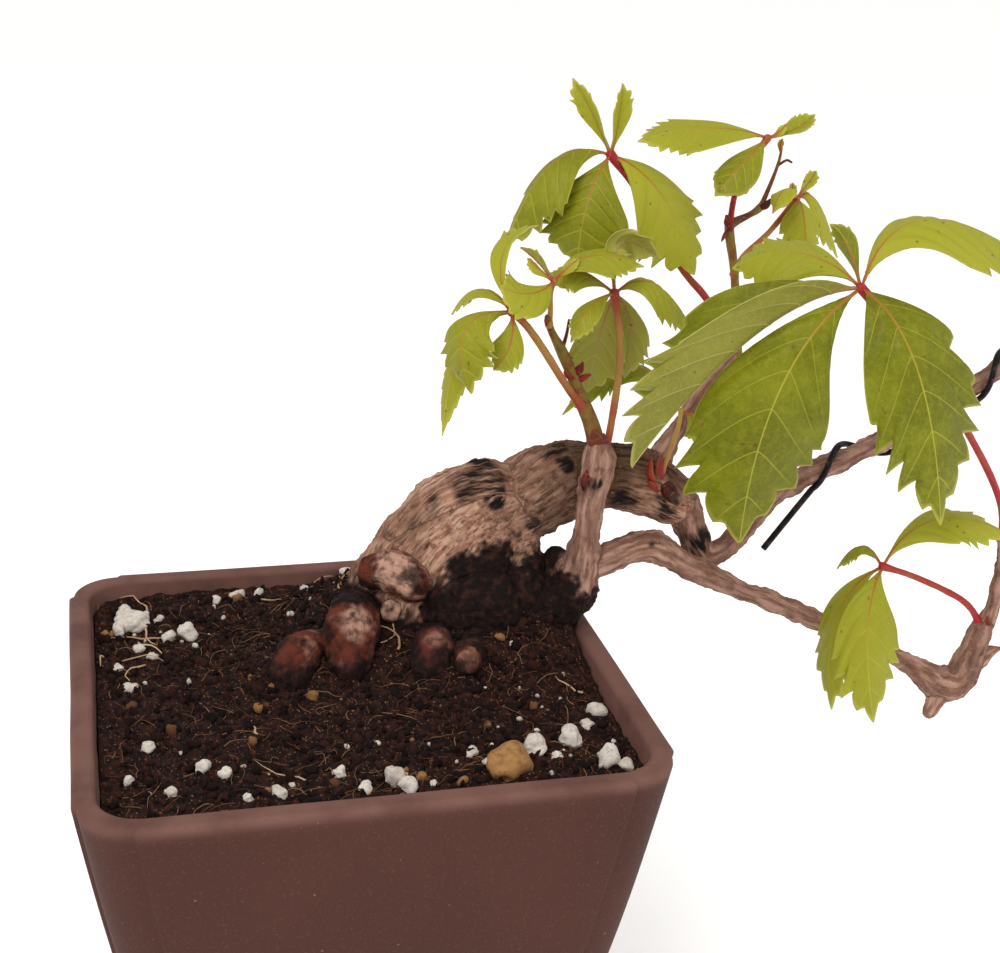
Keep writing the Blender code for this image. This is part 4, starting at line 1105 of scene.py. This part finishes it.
bladeLook = {
    "rowsPerVein": 9, "across": 11,                  # the mesh's grid, between side veins and on each half
    "rise": 1.05, "bulk": 2.6, "fall": 0.95,         # the outline's exponents, see outline
    "point": 0.45,                                   # how far the tip is drawn in
    "lean": 0.5,                                     # how far forward a side vein runs, as a share
    "teeth": 0.42, "toothFrom": 0.22,                # depth, and where along the blade they begin
    "pucker": 0.03, "wave": 0.07, "waves": 2.3, "cup": 0.1, "skew": 0.0,
    "bite": (0, 0.5, 0.0),                           # a gap eaten from one side: side, place, depth
    "stalk": 0.05,                                   # the bare share of the midrib
    "thick": 0.28, "rib": 0.55, "veinHigh": 0.14,    # in mm, the last two standing out of the first
}
# Leaflets: middle of the midrib, tip, the way the upper side faces, width, fold of the two halves in
# degrees (above zero like a roof, below zero like a boat), side veins on each half, how young its
# colour is from 0 to 1, raised on brightly lit and backlit leaflets as a painted light, then what
# differs from bladeLook
leaflets = {
    "leaf_a": [
        ((103, -24, 183), (102, -9, 136), (-0.1, -0.8, 0.6), 35, 14, 7, 0,
         {"across": 16, "rise": 1.15, "bulk": 4.2, "wave": 0.04, "lean": 0.52, "teeth": 0.5,
          "toothFrom": 0.3}),
        ((97, -18, 195), (72, -6, 158), (-0.45, 0.22, 0.85), 31, -46, 7, 0.15,
         {"across": 14, "rise": 1, "bulk": 3.2, "fall": 0.9, "cup": -0.1, "teeth": 0.46}),
        ((113, -4, 212), (100, 6, 206), (0, -0.55, 0.85), 20, 14, 7, 0.7, {"bulk": 3.2, "teeth": 0.55}),
        ((129, 2, 213), (128, 11, 216), (-0.7, -0.4, 0.6), 6, 30, 4, 0.3),
        ((134, -34, 189), (147, -31, 147), (-0.1, -0.8, 0.6), 31, 14, 7, 0.1,
         {"across": 16, "rise": 0.75, "bulk": 2.4, "teeth": 0.6, "skew": -0.14,
          "bite": (-1, 0.52, 0.4)}),
        ((148, -9, 221), (192, -2, 199), (-0.2, -0.3, 1), 25, 22, 8, 0.8, {"across": 12}),
    ],
    "leaf_c": [
        ((70, 36, 241), (64, 36, 250), (-0.8, -0.4, 0.5), 7, -30, 4, 0.8, {"teeth": 0.5}),
        ((77, 36, 240), (77, 34, 249), (0.3, -0.8, 0.5), 7, -30, 4, 0.8, {"teeth": 0.5}),
        ((60, 39, 227), (48, 38, 205), (-0.6, -0.2, 0.8), 21, 22, 7, 0.35),
        ((68, 31, 218), (66, 30, 202), (-0.3, -0.7, 0.7), 24, 16, 7, 0.35, {"bulk": 2.8}),
        ((90, 34, 219), (100, 33, 198), (0.1, -0.7, 0.7), 24, 14, 6, 0.95, {"teeth": 0.6, "bulk": 3.4}),
    ],
    "leaf_d": [
        ((83, 15, 200), (95, 17, 186), (0.3, -0.4, 0.9), 15, 22, 7, 0.7),
        ((71, 24, 184), (69, 26, 168), (0.1, 0.9, 0.3), 16, 12, 6, 0.9),
        ((80, 25, 187), (80, 28, 171), (0.5, 0.8, 0.3), 11, 12, 6, 0.9),
        ((63, 8, 196), (58, 6, 188), (-0.4, -0.4, 0.8), 8, 10, 6, 0.5),
        ((61, 14, 204), (54, 13, 201), (-0.2, -0.5, 0.8), 10, 20, 6, 0.6),
        ((75, 21, 210), (85, 19, 206), (0.4, 0.8, 0.5), 11, 15, 6, 0.9, {"wave": 0.16}),
    ],
    "leaf_e": [
        ((28, -5, 195), (30, -5, 179), (-0.6, -0.5, 0.7), 16, 16, 6, 0.5, {"teeth": 0.55}),
        ((30, 6, 188), (25, 5, 165), (-0.6, -0.6, 0.5), 8, 25, 7, 0.6, {"teeth": 0.2}),
        ((40, -2, 190), (36, -2, 184), (0, -0.8, 0.6), 9, 15, 6, 0.6),
        ((34, 8, 202), (28, 11, 195), (-0.3, 0.2, 0.9), 10, 16, 6, 0.7),
        ((40, 7, 211), (50, 12, 217), (-0.9, -0.2, 0.4), 10, -20, 6, 0.8),
    ],
    "leaf_f": [
        ((46, 2, 202), (37, -2, 205), (-0.3, -0.7, 0.6), 13, 8, 6, 0.8),
        ((50, 11, 208), (45, 10, 212), (-0.3, 0.1, 0.9), 5, -30, 4, 1),
        ((64, 11, 209), (78, 11, 206), (0, -0.4, 0.9), 12, 16, 7, 0.6),
    ],
    "leaf_g": [
        ((101, 36, 237), (82, 34, 234), (-0.2, -0.5, 0.8), 14, 12, 8, 0.7, {"rise": 0.95}),
        ((111, 32, 228), (103, 30, 220), (-0.4, -0.6, 0.7), 12, 12, 6, 0.4, {"teeth": 0.12}),
        ((128, 39, 236), (134, 40, 240), (0.2, -0.3, 0.9), 7, -25, 5, 0.6),
    ],
    "leaf_h": [
        ((126, 37.5, 220), (122, 35, 214), (-0.5, -0.2, 0.8), 8, 12, 4, 1, {"teeth": 0.15}),
        ((137, 47, 220), (140, 49, 223), (0.3, -0.6, 0.8), 4, -20, 3, 1),
        ((141, 48, 214), (149, 49, 198), (0.6, -0.4, 0.7), 13, 20, 6, 0.9, {"teeth": 0.5}),
        ((133, 39, 212), (135, 38, 198), (0, -0.9, 0.4), 13, 24, 6, 0.8, {"teeth": 0.5}),
    ],
    "leaf_i": [
        ((160, -6, 138), (181, -10, 133), (-0.3, -0.3, 1), 15, 16, 7, 1),
        ((140, -12, 110), (144, -14, 82), (-0.1, -0.7, 0.7), 19, 14, 6, 0.6,
         {"teeth": 0.6, "skew": -0.1}),
        ((137, 1, 107), (139, 2, 78), (-0.8, -0.4, 0.5), 14, 14, 6, 0.6, {"teeth": 0.6}),
        ((142, 2, 128), (137, 4, 121), (-0.3, 0.2, 0.9), 9, 16, 6, 0.4),
    ],
    "leaf_j": [
        ((82, 33, 173), (65, 35, 159), (-0.2, -0.2, 1), 13, 16, 7, 0.4),
        ((101, 25, 158), (102, 23, 152), (0.2, -0.6, 0.8), 8, 12, 5, 0.5),
    ],
}


# Colours of each skin: deep and fresh tissue, young tissue, veins, margin, and red by the stalk
leafHues = {
    "upper": ("#656700", "#7a7c08", "#a6a32a", "#aaa735", "#bab54c", "#a8562c"),
    "under": ("#7f7d2a", "#8c8935", "#a8a346", "#bab374", "#bab569", "#b06a44"),
    "papery": ("#5b2619", "#6d3422", "#8c4a35", "#8a5238", "#9a6a4c", "#6d1f1a"),
    "rosy": ("#7a1e1e", "#8a2a26", "#9c4438", "#96402f", "#a4563c", "#84201e"),
}


def bladeMaterial(name, roughness, hues):
    # A leaf's living skin: thin wax over green tissue that glows a little with the light behind it,
    # netted with pale veins, yellow at the margin and red towards the stalk, paler and yellower for young
    # leaflets and, as a painted light, for brightly lit ones
    deep, fresh, tender, vein, margin, red = hues
    material, tree, place = startMaterial(name, roughness, Subsurface_Weight=0.15,
                                          Subsurface_Scale=1 * mm, Subsurface_Radius=(0.8, 1.0, 0.1))
    warp = addNode(tree, "TexNoise", {"Vector": place, "Scale": 1 / (4 * mm), "Detail": 2.0})
    shift = addNode(tree, "VectorMath", {0: warp.outputs["Color"], "Scale": 1.2 * mm}, operation="SCALE")
    bent = addNode(tree, "VectorMath", {0: place, 1: shift.outputs["Vector"]}, operation="ADD")
    cells = addNode(tree, "TexVoronoi", {"Vector": bent.outputs["Vector"], "Scale": 1 / (1.9 * mm)},
                    feature="DISTANCE_TO_EDGE")      # the finest veins lie about 2 mm apart
    net = addNode(tree, "MapRange", {"Value": cells.outputs["Distance"], "From Min": 0.0, "From Max": 0.06,
                                     "To Min": 1.0, "To Max": 0.0}, interpolation_type="SMOOTHSTEP")
    rib = band(tree, "fromRib", 0.5, 0.16)
    nearHub = band(tree, "fromHub", 34.0, 4.0)
    flush = addNode(tree, "Math", {0: nearHub, 1: rib}, operation="MULTIPLY").outputs[0]
    colour = paint(tree, deep, [
        (patches(tree, place, 14 * mm, 0.36, 0.68, 3.0), 1, fresh),
        # the young value: leaf age, and painted light on brightly lit and backlit leaflets
        (band(tree, "young", 0, 1), 1, tender),
        (patches(tree, place, 2.2 * mm, 0.45, 0.75, 4.0), 0.22, tender),
        (net.outputs["Result"], 0.2, vein),
        (band(tree, "fromVein", 0.3, 0.06), 0.65, vein),
        (rib, 0.85, vein),
        (band(tree, "fromEdge", 0.7, 0.0), 0.7, margin),
        (flush, 0.85, red),
        (band(tree, "fromHub", 4.5, 1.2), 0.9, red),
        (patches(tree, place, 1.4 * mm, 0.8, 0.83, 0.0), 0.6, "#6a421a")])
    return finish(material, colour, [(cells.outputs["Distance"], 0.25 * mm, 0.4)])


scaleLook = {"rowsPerVein": 4, "across": 4, "teeth": 0, "rise": 0.45, "bulk": 1, "fall": 0.6, "point": 0,
             "lean": 0.2, "wave": 0, "cup": 0.5, "thick": 0.35, "rib": 0.2, "stalk": 0}
scaleFold, scaleVeins, openingFold = 10, 3, 18
scaleKinds = {"scale": ("papery", 0.3), "bract": ("rosy", 0.3), "stipule": ("rosy", 1)}     # skin, how young
# Scales and stipules: kind, where each springs from, middle, tip, facing and width
scales = {
    "bract_left": ("bract", (90.6, 20, 142), (85.9, 19.2, 144.5), (86.1, 19, 151),
                   (-0.8, -0.5, 0.2), 3.2),
    "bract_right": ("bract", (90.8, 20, 142.6), (89, 18.8, 146.6), (88.8, 18.4, 151.8),
                    (0.1, -0.9, 0.1), 2.6),
    "bract_low": ("bract", (90.4, 20, 141), (88, 18.6, 141.6), (85.4, 18, 144.6),
                  (-0.3, -0.9, 0.1), 2.8),
    "sheath_1": ("scale", (69.2, 13.6, 154.4), (68.2, 13.4, 157.6), (67.6, 15, 161),
                 (-0.4, -0.9, 0.1), 5.2),
    "sheath_2": ("scale", (71.4, 13.6, 154.4), (71.3, 13.6, 157.4), (69.8, 15, 160.2),
                 (0.5, -0.85, 0.1), 5.2),
    "sheath_3": ("scale", (68, 15.6, 154.4), (66.8, 15.8, 157.2), (66.6, 16.4, 160),
                 (-0.95, -0.2, 0.1), 4.8),
    "sheath_4": ("scale", (73, 16, 154.4), (72.9, 16.4, 157), (71.4, 16.8, 159.6),
                 (0.95, -0.2, 0.1), 4.8),
    "sheath_5": ("scale", (70.4, 13.2, 153.4), (69.8, 12.6, 155.4), (69.2, 13.2, 157.6),
                 (0.1, -1, 0.1), 5.2),
    "stipule_1": ("stipule", (62.4, 16, 175.6), (60.4, 14.6, 176.4), (58.8, 13.8, 178.4),
                  (-0.3, -0.9, 0.2), 1.6),
    "stipule_2": ("stipule", (62.6, 16.4, 174.8), (64.6, 15.8, 175.4), (66.8, 15.4, 176.6),
                  (0.2, -0.9, 0.4), 1.8),
    "stipule_3": ("stipule", (55, 13.4, 189), (53.6, 12.4, 190.6), (52.4, 11.6, 193),
                  (-0.5, -0.8, 0.2), 1.4),
    "stipule_4": ("scale", (110.6, 36.8, 209.4), (109, 36, 208.6), (108, 35.6, 206.4),
                  (-0.8, -0.5, 0.2), 1.5),
    "stipule_5": ("scale", (112.6, 35.8, 189.6), (111.6, 34.6, 190.6), (111.2, 34, 193),
                  (-0.6, -0.7, 0.2), 1.5),
    "stipule_6": ("scale", (184, -1.5, 103), (182, -2.8, 104), (181, -3.4, 106.6),
                  (-0.5, -0.8, 0.2), 2.2),
}
# Half-open leaflets at the ends of the shoots: hub, middle, tip, facing, width, veins and how young
openings = {
    "opening_1": ((54, 10, 203), (49.5, 8.6, 206.6), (46.4, 8, 209.6), (-0.3, -0.5, 0.8), 3.4, 4, 1),
    "opening_2": ((54, 10, 203), (57, 9, 206.5), (60.4, 9.4, 209), (0.2, -0.6, 0.8), 3, 4, 1),
    "opening_3": ((120, 38, 234), (122.6, 37, 235.6), (124.6, 37, 238), (0.2, -0.6, 0.8), 2.4, 3, 0.9),
    "opening_4": ((133, 45, 216), (131, 43.5, 218.6), (130.5, 42.6, 221), (-0.5, -0.6, 0.6), 2.4, 3, 1),
    "opening_5": ((126, 42, 229.4), (125.2, 41.2, 231.4), (125.6, 41, 233.4), (-0.4, -0.8, 0.4), 1.8, 3, 1),
}


def outline(share, look):
    # a blade's half width along its midrib as a share of the widest: the share to the rise, times
    # one less the share to the bulk to the fall, drawn in to a point at the tip
    def raw(part):
        body = part ** look["rise"] * np.clip(1 - part ** look["bulk"], 0, 1) ** look["fall"]
        return body * (1 - look["point"] * np.exp(-((1 - part) / 0.1) ** 2))
    return raw(share) / raw(np.linspace(0, 1, 200)).max()


def bladeRings(hub, middle, tip, facing, width, fold, look):
    # A blade is a grid of rows that leave the midrib where a side vein does and lean forward with
    # it, and columns from margin to margin. The midrib is a parabola through its middle. A point
    # goes out by the outline times its share across, its margin cut between veins into teeth that
    # hook forward; it goes up by the fold, the cup, waves along the margin and a pillow between
    # veins. The upper and under skins lie half a thickness off, thicker along the midrib.
    hub, middle, tip, facing = (np.array(place, float) for place in (hub, middle, tip, facing))
    rows, half = look["veins"] * look["rowsPerVein"], look["across"]
    draw = np.random.default_rng(int(abs(tip).sum() * 10))
    base = hub + unit(unit(middle - hub) + 0.6 * facing) * 0.6
    pull = 2 * middle - (base + tip) / 2
    u = (np.arange(rows + 1) / rows)[:, None]
    s = (np.arange(-half, half + 1) / half)[None]
    reach, phase = np.abs(s), look["veins"] * u % 1.0
    saw = np.where(phase < 0.2, 1 - phase / 0.2, (np.maximum(phase - 0.2, 0) / 0.8) ** 0.8)
    size = draw.uniform(0.55, 1.25, (look["veins"] + 1, 2))
    tooth = np.ceil(look["veins"] * u - 0.2).astype(int).clip(0, look["veins"])
    cut = look["teeth"] * np.where(s > 0, size[tooth, 0], size[tooth, 1])
    cut = cut * smoothStep(look["toothFrom"], look["toothFrom"] + 0.3, u) * (1 - 0.3 * u) * reach ** 3
    leaning = look["lean"] * (1 - u) * smoothStep(-0.05, 0.32, u)
    along = u + leaning * reach ** 1.2 + cut * 0.16 * (saw - 0.35) * (1 - u) ** 0.6
    stalk = look["stalk"]
    share = (np.clip(u + leaning, stalk, 1) - stalk) / (1 - stalk)
    wide = np.maximum(outline(share, look) * width / 2, 0.45 * (1 - u))
    bittenSide, bitePlace, biteDepth = look["bite"]
    bite = biteDepth * np.exp(-((u + leaning - bitePlace) / 0.05) ** 2) * (s * bittenSide > 0) * reach
    out = s * wide * (1 + look["skew"] * np.sign(s)) * (1 + cut * (saw - 0.6) - bite)
    t = np.clip(along, 0, 1.02)[..., None]
    centre = (1 - t) ** 2 * base + 2 * t * (1 - t) * pull + t ** 2 * tip
    forward = unit(2 * (1 - t) * (pull - base) + 2 * t * (tip - pull))
    side = unit(np.cross(forward, facing))
    upper = np.cross(side, forward)
    bend = math.radians(fold)
    length = np.linalg.norm(middle - base) + np.linalg.norm(tip - middle)
    flat = np.abs(out)
    toVein = np.minimum(phase, 1 - phase) / look["veins"] * length * np.ones_like(s) * (1 - 0.4 * reach)
    pillow = np.sin(math.pi * phase) ** 0.8 * np.sin(math.pi * reach ** 0.8) * look["pucker"] * width
    ripple = look["wave"] * wide * reach ** 2.5 * np.sin(
        2 * math.pi * look["waves"] * u + draw.uniform(0, 6.28) + 1.7 * np.sign(s))
    lift = ripple - flat * math.sin(bend) - look["cup"] * wide * reach ** 2
    lift = lift + pillow * smoothStep(0.05, 0.2, u) * (1 - u ** 3)
    surface = centre + (out * math.cos(bend))[..., None] * side + lift[..., None] * upper
    normal = np.cross(np.gradient(surface, axis=1), np.gradient(surface, axis=0))
    normal = np.where(np.linalg.norm(normal, axis=-1, keepdims=True) > 1e-7, unit(normal), upper)
    normal = normal * np.sign((normal * upper).sum(-1, keepdims=True))
    rib = look["rib"] * np.exp(-(flat / 0.5) ** 2) * (1 - 0.75 * u)
    veins = look["veinHigh"] * np.exp(-(toVein / 0.22) ** 2) * (1 - 0.6 * reach)
    thick = (look["thick"] * (1 - 0.45 * reach) + rib + veins)[..., None]
    over, under = surface + normal * thick * 0.3, surface - normal * thick * 0.7
    rings = np.concatenate([over, under[:, ::-1]], axis=1) * mm

    def both(values):
        values = np.broadcast_to(values, surface.shape[:2])
        return np.concatenate([values, values[:, ::-1]], axis=1)

    toHub = np.linalg.norm(surface - hub, axis=-1)
    attributes = {"fromVein": both(toVein + 0.3 * reach ** 4), "fromRib": both(flat * (1 + 1.2 * u)),
                  "fromEdge": both((1 - reach) * wide), "fromHub": both(toHub),
                  "young": both(np.float64(look["young"]))}
    return rings, attributes


def addBlade(name, hub, blade, skins, replaced=()):
    *shape, veins, young, differs = blade
    rings, attributes = bladeRings(hub, *shape, {**bladeLook, "veins": veins, "young": young, **differs})
    half = rings.shape[1] // 2
    columnMaterial = np.concatenate([np.zeros(half - 1), np.ones(half + 1)]).astype(int)
    addPiece(name, loftMesh(name, rings, columnMaterial, attributes), skins, replaced)


def makeLeaves():
    overSkin = bladeMaterial("leaf upper skin", 0.5, leafHues["upper"])
    underSkin = bladeMaterial("leaf under skin", 0.6, leafHues["under"])
    for leaf, blades in leaflets.items():
        for number, blade in enumerate(blades, 1):
            blade = blade if isinstance(blade[-1], dict) else (*blade, {})
            addBlade(f"{leaf}_blade_{number}", petioles[leaf][0][-1], blade, [overSkin, underSkin],
                     [f"{leaf}_leaflet_{number}"])
    scaleSkins = {"papery": bladeMaterial("papery bud scale", 0.6, leafHues["papery"]),
                  "rosy": bladeMaterial("rosy young scale", 0.5, leafHues["rosy"])}
    for name, (kind, hub, *shape) in scales.items():
        skin, young = scaleKinds[kind]
        blade = (*shape, scaleFold, scaleVeins, young, scaleLook)
        addBlade(name, hub, blade, [scaleSkins[skin]] * 2)
    for name, (hub, *shape, veins, young) in openings.items():
        addBlade(name, hub, (*shape, openingFold, veins, young, {}), [overSkin, underSkin])


makeLeaves()
print("leaves made")
